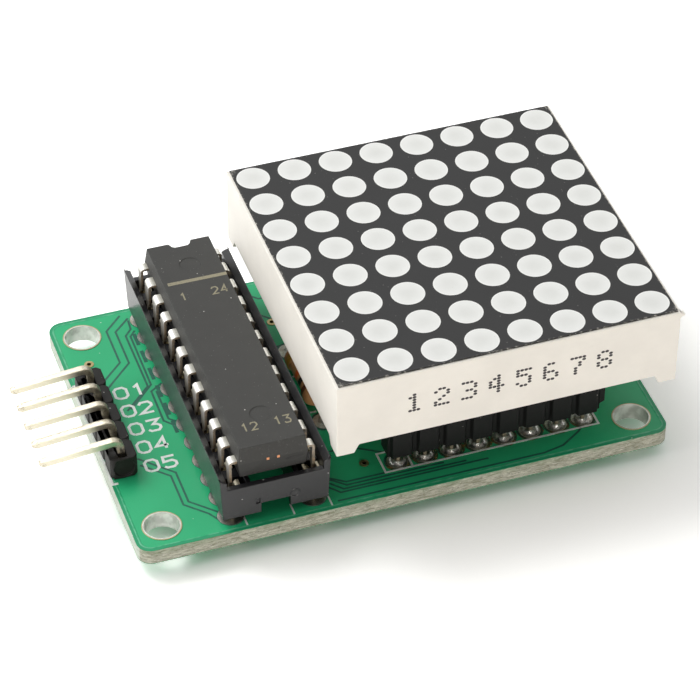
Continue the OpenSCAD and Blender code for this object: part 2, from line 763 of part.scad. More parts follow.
// Contacts of one header: two leaves on a base, closing on the display's pin
module plug_contacts(side) {
    at_z = top_z + plug_lift;
    color("gainsboro") at_plug_pins(side) {
        translate([-plug_tail[0] / 2, -plug_tail[1] / 2, -tail_l])
            cube([plug_tail[0], plug_tail[1], tail_l + at_z + contact_t]);
        translate([-plug_contact_w / 2, 0, at_z]) rotate([90, 0, 90])
            linear_extrude(plug_contact_w) plug_contact_outline();
    }
}

module plug_contact_outline() {
    reach = plug_chamber[1] / 2;
    h = plug_h - 1.1;
    grip = display_pin_w / 2;
    leaf = [
        [reach, 0], [reach, 1.2], [grip + contact_t, h * 0.75], [reach - 0.05, h],
        [reach - 0.05 - contact_t, h], [grip, h * 0.78], [grip, h * 0.72],
        [reach - contact_t, 1.2], [reach - contact_t, contact_t]
    ];
    polygon(concat(
        [for (p = leaf) p],
        [for (i = [len(leaf) - 1:-1:0]) [-leaf[i][0], leaf[i][1]]]
    ));
}

module front_plug_contacts() {
    plug_contacts(-1);
}

module back_plug_contacts() {
    plug_contacts(1);
}

module plug_solder() {
    color("silver") {
        at_plug_pins(-1) joint(plug_tail, true);
        at_plug_pins(1) joint(plug_tail, true);
    }
}

// Copies of a piece at every dot of the display
module at_dots() {
    translate([display_x, 0, 0]) row_x(dot_count, dot_pitch) row_y(dot_count, dot_pitch) children();
}

// White housing: a plate pierced by tapered light wells, four walls and a foot
// under each corner
module display_housing() {
    half = display_side / 2;
    color([0.9, 0.9, 0.88]) union() {
        difference() {
            translate([display_x - half, -half, rim_z])
                cube([display_side, display_side, body_top_z - rim_z]);
            translate([display_x - cavity_w / 2, -cavity_w / 2, rim_z - cut])
                cube([cavity_w, cavity_w, led_board_top_z - rim_z + cut]);
            at_dots() well();
        }
        translate([display_x, 0, 0]) for (x = [0, 1], y = [0, 1])
            mirror([x, 0, 0]) mirror([0, y, 0]) intersection() {
                translate([0, half, rim_z]) rotate([90, 0, 0]) linear_extrude(half) foot_side_view(half);
                translate([0, 0, rim_z]) rotate([90, 0, 90]) linear_extrude(half) foot_side_view(half);
            }
        translate([display_x + half, 0.5 - half, body_top_z - 0.6]) rotate([90, 0, 0])
            linear_extrude(0.5) polygon([
                [-cut, 0.05], [0, 0], [gate_stub_l, 0.15], [gate_stub_l * 0.9, 0.42], [0, 0.5], [-cut, 0.45]
            ]);
    }
}

module well() {
    translate([0, 0, led_board_top_z])
        cylinder(h = well_h, d1 = well_floor_d, d2 = dot_d, $fn = small_fn);
}

module foot_side_view(half) {
    polygon([
        [half, 0], [half, -foot_h], [half - foot_tip_w, -foot_h], [half - foot_tip_w - foot_flare, 0]
    ]);
}

module display_face() {
    side = display_side - 2 * face_margin;
    color([0.17, 0.17, 0.17]) difference() {
        translate([display_x - side / 2, -side / 2, body_top_z]) cube([side, side, face_t]);
        at_dots() translate([0, 0, body_top_z - cut])
            cylinder(h = face_t + 2 * cut, d = dot_d, $fn = small_fn);
    }
}

// Milky resin that fills each well up to the face, around the chip on its floor
module dot_lenses() {
    color([0.93, 0.93, 0.91]) at_dots() difference() {
        union() {
            well();
            translate([0, 0, body_top_z]) cylinder(h = face_t, d = dot_d, $fn = small_fn);
        }
        led_chip();
    }
}

module led_chip() {
    translate([-led_chip_w / 2, -led_chip_w / 2, led_board_top_z])
        cube([led_chip_w, led_chip_w, led_chip_h]);
}

module led_chips() {
    color("orangered") at_dots() led_chip();
}

module at_display_pins() {
    at_plug_pins(-1) children();
    at_plug_pins(1) children();
}

module led_board() {
    side = cavity_w - 2 * led_board_gap;
    color("darkseagreen") difference() {
        translate([display_x - side / 2, -side / 2, led_board_z]) cube([side, side, led_board_t]);
        at_display_pins() pin_slot(led_board_z, led_board_t);
    }
}

module pin_slot(z, h) {
    translate([-display_pin_w / 2, -display_pin_w / 2, z - cut])
        cube([display_pin_w, display_pin_w, h + 2 * cut]);
}

// Resin cast over the back of the display's board
module display_seal() {
    color("ivory") difference() {
        translate([display_x - cavity_w / 2, -cavity_w / 2, seal_z])
            cube([cavity_w, cavity_w, led_board_z - seal_z]);
        at_display_pins() pin_slot(seal_z, led_board_z - seal_z);
    }
}

module display_pins(side) {
    z = seal_z - display_pin_l;
    color("gainsboro") at_plug_pins(side)
        translate([-display_pin_w / 2, -display_pin_w / 2, z])
            cube([display_pin_w, display_pin_w, led_board_top_z - z]);
}

module front_display_pins() {
    display_pins(-1);
}

module back_display_pins() {
    display_pins(1);
}

// Resistor body: a waisted rod with bulging end caps, lying on the board
module resistor_body() {
    r = resistor_d / 2;
    half = resistor_l / 2;
    cap = resistor_l * 0.22;
    color("tan") translate([resistor_at[0], resistor_at[1], pad_top_z + r]) rotate([90, 0, 0])
        rotate_extrude($fn = large_fn) polygon(concat(
            [[0, -half]],
            arc([r - 0.45, -half + 0.45], 0.45, -90, 0, 4),
            [[r, -half + cap * 0.8], [r - 0.2, -half + cap], [r - 0.2, half - cap], [r, half - cap * 0.8]],
            arc([r - 0.45, half - 0.45], 0.45, 0, 90, 4),
            [[0, half]]
        ));
}

module resistor_leads() {
    wire_z = pad_top_z + resistor_d / 2;
    bend = wire_bend_r;
    color("lightgray") at_resistor_ends() {
        translate([0, 0, -tail_l]) cylinder(h = tail_l + wire_z - bend, d = wire_d, $fn = small_fn);
        translate([0, -bend, wire_z - bend]) rotate([90, 0, 90])
            rotate_extrude(angle = 90, $fn = small_fn) translate([bend, 0]) circle(d = wire_d, $fn = small_fn);
        translate([0, -bend, wire_z]) rotate([90, 0, 0])
            cylinder(h = resistor_span / 2 - bend - resistor_l / 2, d = wire_d, $fn = small_fn);
    }
}

// Disc capacitor: a dipped disc standing on its two legs
module disc_capacitor_body() {
    r = disc_d / 2;
    e = disc_t / 2;
    color("darkgoldenrod") difference() {
        translate([disc_at[0], disc_at[1], top_z + disc_lift + r]) rotate([90, disc_turn, 0])
            rotate_extrude($fn = large_fn) polygon(concat(
                [[0, -e]],
                arc([r - e, 0], e, -90, 90, 7),
                [[0, e]]
            ));
        at_disc_legs() translate([0, 0, top_z])
            cylinder(h = disc_lift + disc_embed, d = wire_d, $fn = small_fn);
    }
}

module disc_capacitor_legs() {
    color("lightgray") at_disc_legs() translate([0, 0, -tail_l])
        cylinder(h = tail_l + top_z + disc_lift + disc_embed, d = wire_d, $fn = small_fn);
}

// Can capacitor: an aluminium can with a crimped waist, in a plastic sleeve
module can_capacitor_can() {
    r = can_d / 2 - sleeve_t;
    inner = r - 0.25;
    h = can_h;
    color("silver") translate([can_at[0], can_at[1], pad_top_z]) rotate_extrude($fn = large_fn) polygon([
        [inner, 0], [r - 0.1, 0], [r, 0.2], [r, 0.9], [r - 0.2, 1.15], [r, 1.4],
        [r, h - 0.3], [r - 0.3, h], [0, h], [0, bung_h], [inner, bung_h]
    ]);
}

module can_capacitor_sleeve() {
    r = can_d / 2;
    h = can_h;
    color("midnightblue") translate([can_at[0], can_at[1], pad_top_z]) rotate_extrude($fn = large_fn) polygon([
        [r - sleeve_t, 0.2], [r, 0.2], [r, 0.9], [r - 0.2, 1.15], [r, 1.4], [r, h - 0.2],
        [r - 0.15, h + 0.05], [r - 0.7, h + 0.05], [r - 0.7, h], [r - sleeve_t - 0.3, h],
        [r - sleeve_t, h - 0.3], [r - sleeve_t, 1.4], [r - sleeve_t - 0.2, 1.15], [r - sleeve_t, 0.9]
    ]);
}

module can_capacitor_bung() {
    r = can_d / 2 - sleeve_t - 0.25;
    color("black") difference() {
        translate([can_at[0], can_at[1], pad_top_z]) cylinder(h = bung_h, r = r, $fn = large_fn);
        at_can_legs() cylinder(h = board_t + bung_h + cut, d = wire_d, $fn = small_fn);
    }
}

module can_capacitor_legs() {
    color("lightgray") at_can_legs() translate([0, 0, -tail_l])
        cylinder(h = tail_l + pad_top_z + bung_h, d = wire_d, $fn = small_fn);
}

module component_solder() {
    color("silver") at_component_legs() joint([wire_d], false);
}

circuit_board();
mounting_hole_plating();
plated_pads();
via_plating();
header_strip();
header_pins();
header_solder();
socket_frame();
socket_contacts();
socket_solder();
chip_body();
chip_leads();
front_plug_housing();
back_plug_housing();
front_plug_contacts();
back_plug_contacts();
plug_solder();
display_housing();
display_face();
dot_lenses();
led_board();
led_chips();
display_seal();
front_display_pins();
back_display_pins();
resistor_body();
resistor_leads();
disc_capacitor_body();
disc_capacitor_legs();
can_capacitor_can();
can_capacitor_sleeve();
can_capacitor_bung();
can_capacitor_legs();
component_solder();
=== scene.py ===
"""Looks of an LED dot-matrix module: finishes, printed marks, tracks and soft edges on its CAD frame."""
from math import pi, radians

import bmesh
import bpy
import numpy as np
from bpy.props import FloatProperty, FloatVectorProperty, PointerProperty
from mathutils import Matrix, Vector


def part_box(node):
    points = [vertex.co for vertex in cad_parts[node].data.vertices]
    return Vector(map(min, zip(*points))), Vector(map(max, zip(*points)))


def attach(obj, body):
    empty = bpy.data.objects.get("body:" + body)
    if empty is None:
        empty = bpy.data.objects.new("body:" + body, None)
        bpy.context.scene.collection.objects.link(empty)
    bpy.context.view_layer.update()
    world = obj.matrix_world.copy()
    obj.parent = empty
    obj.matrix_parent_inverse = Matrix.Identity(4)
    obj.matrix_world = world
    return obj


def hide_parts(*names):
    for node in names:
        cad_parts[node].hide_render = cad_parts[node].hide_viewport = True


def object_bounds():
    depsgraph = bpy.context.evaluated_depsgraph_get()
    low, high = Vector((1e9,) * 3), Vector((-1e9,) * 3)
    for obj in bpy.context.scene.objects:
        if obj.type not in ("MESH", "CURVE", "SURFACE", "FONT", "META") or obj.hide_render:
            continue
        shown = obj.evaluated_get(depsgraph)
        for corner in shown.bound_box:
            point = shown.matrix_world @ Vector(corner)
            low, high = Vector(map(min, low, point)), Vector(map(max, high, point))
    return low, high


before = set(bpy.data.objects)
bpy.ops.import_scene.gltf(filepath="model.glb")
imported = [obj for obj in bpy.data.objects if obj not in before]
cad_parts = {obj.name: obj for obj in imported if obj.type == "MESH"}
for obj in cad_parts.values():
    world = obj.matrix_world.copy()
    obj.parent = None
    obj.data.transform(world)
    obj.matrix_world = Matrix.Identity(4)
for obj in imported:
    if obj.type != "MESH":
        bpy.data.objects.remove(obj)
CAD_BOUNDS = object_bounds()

bl_info = {
    "name": "LED Dot-Matrix Module",
    "version": (1, 0, 0),
    "blender": (4, 5, 0),
    "location": "View3D > Sidebar > Module",
    "description": "Finishes the board, driver chip and display block of an LED dot-matrix module",
    "category": "Object",
}

MM = 0.001
GRID = 2.54
PIN_THICK = 0.64
UNDERSIDE = np.diag([1.0, -1.0, -1.0])
FRONT_WALL = np.array([[1.0, 0, 0], [0, 0, 1.0], [0, -1.0, 0]])


def corners(node):
    """Lowest and highest corner of a CAD node, in millimetres."""
    low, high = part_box(node)
    return np.array(low) / MM, np.array(high) / MM


BOARD_LOW, BOARD_HIGH = corners("circuit_board")
CHIP_LOW, CHIP_HIGH = corners("chip_body")
BLOCK_LOW, BLOCK_HIGH = corners("display_face")
RING_LOW = corners("mounting_hole_plating")[0]
RING_R = 1.8
MOUNT_INSET = RING_LOW - BOARD_LOW + RING_R
PIN_LOW, PIN_HIGH = corners("header_pins")
TIP_X = PIN_LOW[0]
HEADER_X = PIN_HIGH[0] - PIN_THICK / 2
PITCH = (PIN_HIGH[1] - PIN_LOW[1] - PIN_THICK) / 4
BOARD_TOP = BOARD_HIGH[2]
LEAD_Z = corners("chip_leads")[1][2]
CHIP_X = (CHIP_LOW[0] + CHIP_HIGH[0]) / 2
BLOCK_X = (BLOCK_LOW[0] + BLOCK_HIGH[0]) / 2


def ink(red, green, blue):
    """A screen colour, 0 to 255, as the linear colour that shaders take."""
    c = np.array([red, green, blue]) / 255
    c = np.where(c <= 0.04045, c / 12.92, ((c + 0.055) / 1.055) ** 2.4)
    return tuple(float(v) for v in c)


# ---------------------------------------------------------------- shader maths


class Value:
    """A shader socket that stands in a Python expression: each operator adds its Math node."""

    def __init__(self, finish, socket):
        self.finish = finish
        self.socket = socket

    def math(self, operation, *terms):
        return self.finish.node("Math", {"operation": operation}, dict(enumerate(terms)))

    def __add__(self, other):
        return self.math("ADD", self, other)

    def __sub__(self, other):
        return self.math("SUBTRACT", self, other)

    def __rsub__(self, other):
        return self.math("SUBTRACT", other, self)

    def __mul__(self, other):
        return self.math("MULTIPLY", self, other)

    def __truediv__(self, other):
        return self.math("DIVIDE", self, other)

    def __rtruediv__(self, other):
        return self.math("DIVIDE", other, self)

    def __pow__(self, power):
        return self.math("POWER", self, power)

    def __neg__(self):
        return self.math("MULTIPLY", self, -1.0)

    def __abs__(self):
        return self.math("ABSOLUTE", self)

    def __gt__(self, other):
        return self.math("GREATER_THAN", self, other)

    def __lt__(self, other):
        return self.math("LESS_THAN", self, other)

    __radd__ = __add__
    __rmul__ = __mul__

    def most(self, other):
        return self.math("MAXIMUM", self, other)

    def least(self, other):
        return self.math("MINIMUM", self, other)

    def wrap(self, period):
        return self.math("FLOORED_MODULO", self, period)

    def step(self, low, high):
        """0 below low, 1 above high, and a smooth curve between."""
        return self.finish.node(
            "MapRange", {"interpolation_type": "SMOOTHSTEP"},
            {"Value": self, "From Min": low, "From Max": high},
        )


class Finish:
    """A material being mixed. Its places are in millimetres, in the part's own frame."""

    def __init__(self, name, tree=None):
        if tree is None:
            self.material = bpy.data.materials.new(name)
            self.material.use_nodes = True
            tree = self.material.node_tree
        self.tree = tree
        self.tree.nodes.clear()
        self.kept = {}

    def node(self, kind, settings=None, inputs=None, output=0):
        """Adds a node: its settings first, then the values or links of its sockets. Returns an output."""
        made = self.tree.nodes.new("ShaderNode" + kind)
        for name, value in (settings or {}).items():
            if name == "stops":
                ramp = made.color_ramp
                while len(ramp.elements) < len(value):
                    ramp.elements.new(0.5)
                for element, (at, colour) in zip(ramp.elements, value):
                    element.position = at
                    element.color = (*colour, 1.0)
            else:
                setattr(made, name, value)
        for key, value in (inputs or {}).items():
            socket = made.inputs[key]
            if isinstance(value, Value):
                self.tree.links.new(value.socket, socket)
            elif socket.type == "RGBA":
                socket.default_value = (*value, 1.0)
            else:
                socket.default_value = value
        if isinstance(output, tuple):
            return [Value(self, made.outputs[o]) for o in output]
        return Value(self, made.outputs[output])

    def place(self):
        if "place" not in self.kept:
            own = self.node("TexCoord", output="Object")
            self.kept["place"] = self.node(
                "VectorMath", {"operation": "MULTIPLY"}, {0: own, 1: (1 / MM,) * 3}
            )
        return self.kept["place"]

    def xyz(self):
        if "xyz" not in self.kept:
            self.kept["xyz"] = self.node(
                "SeparateXYZ", inputs={0: self.place()}, output=("X", "Y", "Z")
            )
        return self.kept["xyz"]

    def facing(self):
        """How far a face looks along each of the part's own directions, from -1 to 1."""
        if "facing" not in self.kept:
            own = self.node("TexCoord", output="Normal")
            self.kept["facing"] = self.node(
                "SeparateXYZ", inputs={0: own}, output=("X", "Y", "Z"))
        return self.kept["facing"]

    def stretched(self, x, y, z):
        return self.node("Mapping", inputs={"Vector": self.place(), "Scale": (x, y, z)})

    def noise(self, scale, detail=2.0, rough=0.5, at=None, twist=0.0):
        """Cloudy value about 0.5, in features of about 1/scale millimetres."""
        return self.node("TexNoise", inputs={
            "Vector": at or self.place(), "Scale": scale, "Detail": detail,
            "Roughness": rough, "Distortion": twist,
        })

    def specks(self, scale, share, size=0.25, at=None):
        """Small round specks in a share of the cells of a grid of 1/scale millimetres."""
        distance, tone = self.node(
            "TexVoronoi", {"voronoi_dimensions": "3D"},
            {"Vector": at or self.place(), "Scale": scale}, output=("Distance", "Color"),
        )
        picked = self.node("SeparateColor", inputs={0: tone}, output=0) > (1 - share)
        return picked * (distance < size)

    def blend(self, share, low, high):
        """Colour that goes from low to high as the share goes from 0 to 1."""
        return self.node("Mix", {"data_type": "RGBA"}, {0: share, 6: low, 7: high}, output=2)

    def blend_value(self, share, low, high):
        """Number that goes from low to high as the share goes from 0 to 1."""
        return self.node("Mix", {"data_type": "FLOAT"}, {0: share, 2: low, 3: high})

    def shade(self, colour, factor):
        """Colour made darker or brighter by a factor that varies over the surface."""
        return self.node("VectorMath", {"operation": "SCALE"}, {0: colour, "Scale": factor})

    def bump(self, height, strength, depth=0.05, under=None):
        """Surface normal of a height map. Depth is in millimetres."""
        inputs = {"Height": height, "Strength": strength, "Distance": depth * MM}
        if under is not None:
            inputs["Normal"] = under
        return self.node("Bump", inputs=inputs)

    def surface(self, **inputs):
        shader = self.node("BsdfPrincipled", inputs=inputs, output="BSDF")
        self.node("OutputMaterial", inputs={"Surface": shader}, output=())
        return self.material


def moulded(name, colour, gloss, grain=0.2, mottle=0.08, dust=0.02, scratch=0.0, level=0.5):
    """Moulded plastic: fine grain in the normal, cloudy tone, pale dust and short scratches."""
    f = Finish(name)
    tone = f.noise(1.1, 4, 0.6) * (2 * mottle) + (1 - mottle)
    fine = f.noise(14, 3, 0.7)
    base = f.shade(colour, tone * (fine * 0.16 + 0.92))
    rub = f.noise(2.2, 5, 0.75, at=f.stretched(0.25, 1.0, 1.0)).step(0.62, 0.8) * scratch
    specks = f.specks(2.4, dust, 0.16) * f.noise(9).step(0.35, 0.6)
    base = f.blend(rub * 0.5, base, tuple(min(1.0, 3 * c + 0.08) for c in colour))
    base = f.blend(specks * 0.75, base, (0.62, 0.61, 0.58))
    rough = gloss + (fine - 0.5) * 0.14 + rub * 0.15 + specks * 0.3
    height = fine * 0.6 + f.noise(42, 2, 0.6) * 0.4
    return f.surface(**{
        "Base Color": base, "Roughness": rough, "Normal": f.bump(height, grain, 0.03),
        "Specular IOR Level": level,
    })


def plated(name, colour, dull, streak=(1, 1, 1), tarnish=(0.5, 0.46, 0.38), amount=0.35,
           rough=0.24, ripple=0.12):
    """Plated metal: streaks along the way it was drawn, dull tarnish in cloudy patches."""
    f = Finish(name)
    lines = f.noise(9, 4, 0.65, at=f.stretched(*streak))
    patch = f.noise(1.3, 4, 0.6).step(0.42, 0.72) * amount
    base = f.blend(patch, f.blend(lines.step(0.3, 0.75), dull, colour), tarnish)
    gloss = rough + lines * 0.2 + patch * 0.3
    return f.surface(**{
        "Base Color": base, "Metallic": 1.0 - patch * 0.5, "Roughness": gloss,
        "Normal": f.bump(lines + f.noise(5) * 0.5, ripple, 0.03),
    })


# ------------------------------------------------------------------- finishes


def board_finish(s):
    """Green solder mask on both faces and raw laminate on the cut edges.

    The distance to the board's outline is that of a rounded rectangle: how far a point lies
    past the straight sides' corner centres, less the corner radius. A thin raised line follows
    it where the copper under the mask ends, bumped in the normal, with a pale highlight painted along it."""
    f = Finish("board_mask_and_laminate")
    x, y, z = f.xyz()
    half = (BOARD_HIGH - BOARD_LOW) / 2
    corner = s.corner / MM
    past_x = (abs(x) - (half[0] - corner)).most(0.0)
    past_y = (abs(y) - (half[1] - corner)).most(0.0)
    inside = corner - (past_x * past_x + past_y * past_y) ** 0.5
    rim = 1.0 - inside.step(0.28, 0.42)
    ridge_and_highlight = inside.step(0.26, 0.34) * (1.0 - inside.step(0.4, 0.5))
    cloud = f.noise(0.16, 3, 0.55)
    fine = f.noise(7, 3, 0.6)
    mask = f.shade(tuple(s.mask), cloud * 0.22 + fine * 0.08 + 0.85)
    mask = f.blend(rim * 0.35, mask, tuple(s.clearance))
    # Painted highlight: a pale line painted along the raised edge of the copper under the mask.
    mask = f.blend(ridge_and_highlight * f.noise(1.4).step(0.35, 0.65) * 0.3, mask, ink(150, 222, 188))
    dust = f.specks(1.6, 0.05, 0.11) * f.noise(3).step(0.45, 0.6)
    mask = f.blend(dust * 0.8, mask, ink(214, 226, 216))

    weave = f.noise(1.0, 5, 0.7, at=f.stretched(1.1, 1.1, 7.5), twist=0.6)
    glass = f.noise(1.0, 4, 0.7, at=f.stretched(2.6, 2.6, 16)).step(0.56, 0.7)
    holes = f.noise(1.0, 3, 0.6, at=f.stretched(3.4, 3.4, 8)).step(0.6, 0.72)
    raw = f.blend(weave.step(0.3, 0.72), ink(132, 134, 112), ink(214, 214, 198))
    raw = f.blend(glass * 0.85, raw, ink(244, 244, 236))
    raw = f.blend(holes * 0.7, raw, ink(78, 80, 58))
    upper = z.step(BOARD_TOP * 0.45, BOARD_TOP * 0.95) * f.noise(0.9, 3, 0.6).step(0.3, 0.7)
    raw = f.blend(upper * 0.45, raw, ink(112, 146, 104))
    # Painted highlight: the cut edges that face along X are painted lighter, as lit edges.
    raw = f.blend((abs(f.facing()[0]) > 0.9) * 0.5, raw, ink(226, 240, 228))

    wavy = f.noise(2.2, 3, 0.6) * 0.09
    face = abs(z - BOARD_TOP / 2) > (BOARD_TOP / 2 - 0.1 + wavy)
    top = abs(z - BOARD_TOP / 2) > (BOARD_TOP / 2 - 0.012)
    side = (1.0 - face).least(1.0)
    green_edge = f.shade(tuple(s.mask), 0.62)
    base = f.blend(top, f.blend(side, green_edge, raw), mask)
    height = f.blend_value(top, weave * 1.4 - glass * 0.6 - holes, ridge_and_highlight * 0.5 + fine * 0.1)
    return f.surface(**{
        "Base Color": base, "Roughness": f.blend_value(top, 0.78, 0.26 + fine * 0.1 + dust * 0.3),
        "Normal": f.bump(height, 0.55, 0.12), "Specular IOR Level": 0.35,
    })


def solder_finish():
    """Bright solder with flow ripples, grey frost and a thin brown film of flux low down."""
    f = Finish("solder")
    z = f.xyz()[2]
    flow = f.noise(2.4, 3, 0.55, twist=0.8)
    frost = f.noise(16, 3, 0.7)
    flux = f.noise(1.9, 4, 0.65).step(0.46, 0.66) * (1.0 - z.step(BOARD_TOP + 0.1, BOARD_TOP + 0.5))
    base = f.blend(frost.step(0.35, 0.7), ink(172, 172, 168), ink(226, 226, 220))
    base = f.blend(flux * 0.55, base, ink(122, 96, 48))
    return f.surface(**{
        "Base Color": base, "Metallic": 1.0 - flux * 0.6, "Roughness": 0.2 + frost * 0.18,
        "Normal": f.bump(flow + frost * 0.15, 0.45, 0.12),
    })


def ring_finish():
    """Plated mounting holes: bright barrels, and rings with a painted grey-green reflection on their flats
    and a painted tan highlight on their outer rim.
    """
    f = Finish("mounting_hole_tin")
    x, y, z = f.xyz()
    half = (BOARD_HIGH - BOARD_LOW) / 2
    off_x = abs(abs(x) - (half[0] - MOUNT_INSET[0]))
    off_y = abs(abs(y) - (half[1] - MOUNT_INSET[1]))
    radius = (off_x * off_x + off_y * off_y) ** 0.5
    flat = abs(z - BOARD_TOP / 2) > (BOARD_TOP / 2 + 0.01)
    rim = flat * radius.step(RING_R - 0.14, RING_R - 0.04)
    wall = f.noise(1.0, 3, 0.5, at=f.stretched(1.1, 1.1, 0.9))
    base = f.blend(wall.step(0.35, 0.65), ink(206, 205, 201), ink(244, 243, 240))
    # Painted reflection: the ring flats are tinted grey-green, as the green mask round them would reflect.
    base = f.blend(flat * 0.35, base, ink(150, 160, 132))
    # Painted highlight: a tan line painted on the outer rim of each ring.
    base = f.blend(rim * 0.85, base, ink(172, 150, 98))
    return f.surface(**{
        "Base Color": base, "Metallic": 0.8 - flat * 0.3,
        "Roughness": 0.3 + wall * 0.15, "Normal": f.bump(wall, 0.12, 0.05),
    })


def pin_finish():
    """Drawn pins: champagne plating, scraped grey-brown on the back half of the second and the
    fourth pin's top, with brown specks at the tips, where they were cut, and olive at the bend.

    The run falls towards the tip, so a face is told by the way it looks and not by its height."""
    f = Finish("header_pin_plating")
    x, y, _ = f.xyz()
    top = f.facing()[2].step(0.6, 0.9)
    run = f.noise(1.0, 5, 0.7, at=f.stretched(0.8, 26, 26))
    chips = f.noise(1.0, 4, 0.75, at=f.stretched(2.6, 9, 9)).step(0.46, 0.6)
    across = (y + PITCH / 2).wrap(PITCH) - PITCH / 2
    scraped = 1.0 - abs(abs(y) - PITCH).step(0.4, 0.6)
    streak = top * scraped * chips * across.step(-0.02, 0.16)
    line = f.noise(1.0, 3, 0.6, at=f.stretched(1.2, 0.4, 0.4)).step(0.4, 0.6)
    seam = abs(abs(across) - 0.27).step(0.0, 0.05)
    tip = 1.0 - (x - TIP_X).step(0.25, 0.9)
    specks = tip * f.noise(7, 3, 0.7).step(0.5, 0.62)
    bend = (x - (HEADER_X - 1.6)).step(0.2, 1.3) * f.noise(3.5, 4, 0.7).step(0.42, 0.62)
    base = f.blend(run.step(0.25, 0.8), ink(206, 196, 172), ink(236, 231, 216))
    base = f.blend(top * (1.0 - seam) * line * 0.5, base, ink(132, 122, 104))
    base = f.blend(streak * 0.75, base, ink(122, 112, 96))
    base = f.blend(specks * 0.7, base, ink(112, 92, 62))
    base = f.blend(bend * 0.55, base, ink(138, 132, 96))
    dull = (streak + specks + bend).least(1.0)
    return f.surface(**{
        "Base Color": base, "Metallic": 1.0 - dull * 0.4, "Roughness": 0.24 + run * 0.14 + dull * 0.25,
        "Normal": f.bump(run, 0.12, 0.02),
    })


def lead_finish():
    """Tinned leads: frosted white over the bend and beige-grey lower down, a painted olive-grey reflection
    on the flat shoulders where they leave the body, and bare brown metal on the edges that the press cut."""
    f = Finish("chip_lead_tin")
    x, y, z = f.xyz()
    out = abs(x - CHIP_X)
    near = 1.0 - out.step(3.25, 3.6)
    low = 1.0 - z.step(LEAD_Z - 1.9, LEAD_Z - 0.5)
    cut = abs(f.facing()[1]).step(0.8, 0.95) * (out > 2.0)
    grain = f.noise(1.0, 4, 0.65, at=f.stretched(6, 22, 6))
    frost = f.noise(3.2, 4, 0.7)
    base = f.blend(grain.step(0.3, 0.75), ink(214, 212, 204), ink(242, 241, 236))
    base = f.blend(low * 0.6, base, ink(172, 164, 142))
    # Painted reflection: the flat shoulders near the body are painted olive-grey, as the darker
    # surroundings they reflect.
    base = f.blend(near * (frost * 0.6 + 0.35), base, ink(124, 122, 104))
    base = f.blend(cut * 0.75, base, f.blend(frost.step(0.4, 0.6), ink(92, 82, 60), ink(150, 122, 88)))
    copper = (abs(y) > (CHIP_HIGH[1] - 0.02)) * (1.0 - (out > 2.0))
    base = f.blend(copper * 0.85, base, ink(232, 156, 104))
    dull = (near + low * 0.5 + cut).least(1.0)
    return f.surface(**{
        "Base Color": base, "Metallic": 0.85 - dull * 0.4, "Roughness": 0.34 + frost * 0.2 + dull * 0.15,
        "Normal": f.bump(grain * 0.6 + frost, 0.2, 0.03),
    })


def chip_finish(s):
    """Moulded epoxy: fine pits, pale filler specks, rubbed upper edges and a smoother
    lower half below the parting line, painted darker as shade, with the rough patch of the moulding gate
    at its end."""
    f = Finish("chip_epoxy")
    x, y, z = f.xyz()
    pits = f.noise(26, 4, 0.75)
    cloud = f.noise(0.5, 3, 0.6)
    upper = z.step(s.parting / MM - 0.02, s.parting / MM + 0.02)
    base = f.shade(tuple(s.epoxy), cloud * 0.2 + pits * 0.5 + 0.65)
    # Painted shade: below the parting line the body is painted darker.
    base = f.blend((1.0 - upper) * 0.5, base, tuple(c * 0.55 for c in s.epoxy))
    side_x = (CHIP_HIGH[0] - CHIP_LOW[0]) / 2
    near_edge = (abs(x - CHIP_X).step(side_x - 0.55, side_x - 0.2)).most(
        abs(y).step(CHIP_HIGH[1] - 0.5, CHIP_HIGH[1] - 0.2))
    rub = near_edge * f.noise(3.5, 5, 0.75).step(0.55, 0.75) * upper
    specks = f.specks(2.1, 0.1, 0.13) * f.noise(2.2).step(0.4, 0.6)
    grit = f.specks(5.5, 0.07, 0.2)
    base = f.blend(rub * 0.25, base, ink(150, 149, 146))
    base = f.blend(specks * 0.8, base, ink(206, 204, 198))
    base = f.blend(grit * 0.3, base, ink(150, 149, 146))
    across = (x - (CHIP_X + 1.9)) / 0.95
    along = (z - (s.parting / MM - 0.5)) / 0.24
    gate = (1.0 - (across * across + along * along).step(0.7, 1.0)) * (y < (CHIP_LOW[1] + 0.4))
    base = f.blend(gate * 0.5, base, ink(38, 37, 36))
    height = pits + specks * 0.8 - gate * (1.5 + f.noise(6) * 2.0)
    return f.surface(**{
        "Base Color": base, "Roughness": 0.52 + pits * 0.16 - (1.0 - upper) * 0.1,
        "Normal": f.bump(height, 0.34, 0.035), "Specular IOR Level": 0.25,
    })


def face_finish(s):
    """Dark face layer: matt, with pale speckle and chipped spots at its outer corners."""
    f = Finish("display_face_layer")
    x, y, _ = f.xyz()
    half = (BLOCK_HIGH[0] - BLOCK_LOW[0]) / 2
    fine = f.noise(20, 3, 0.75)
    dust = f.specks(3.0, 0.14, 0.16) * f.noise(1.3).step(0.4, 0.65)
    to_side = (half - abs(x - BLOCK_X)).least(half - abs(y))
    to_corner = (half - abs(x - BLOCK_X)) + (half - abs(y))
    chipped = (1.0 - to_corner.step(0.25, 1.1)) * f.noise(4.5, 4, 0.7).step(0.47, 0.6)
    worn = (1.0 - to_side.step(0.02, 0.16)) * f.noise(2.6, 5, 0.75).step(0.5, 0.66)
    base = f.shade(tuple(s.face), fine * 0.7 + f.noise(0.4) * 0.3 + 0.5)
    base = f.blend(dust * 0.5, base, ink(132, 131, 128))
    base = f.blend((chipped + worn).least(1.0) * 0.75, base, ink(186, 183, 174))
    return f.surface(**{
        "Base Color": base, "Roughness": 0.5 + fine * 0.2, "Normal": f.bump(fine, 0.25, 0.03),
        "Specular IOR Level": 0.45,
    })


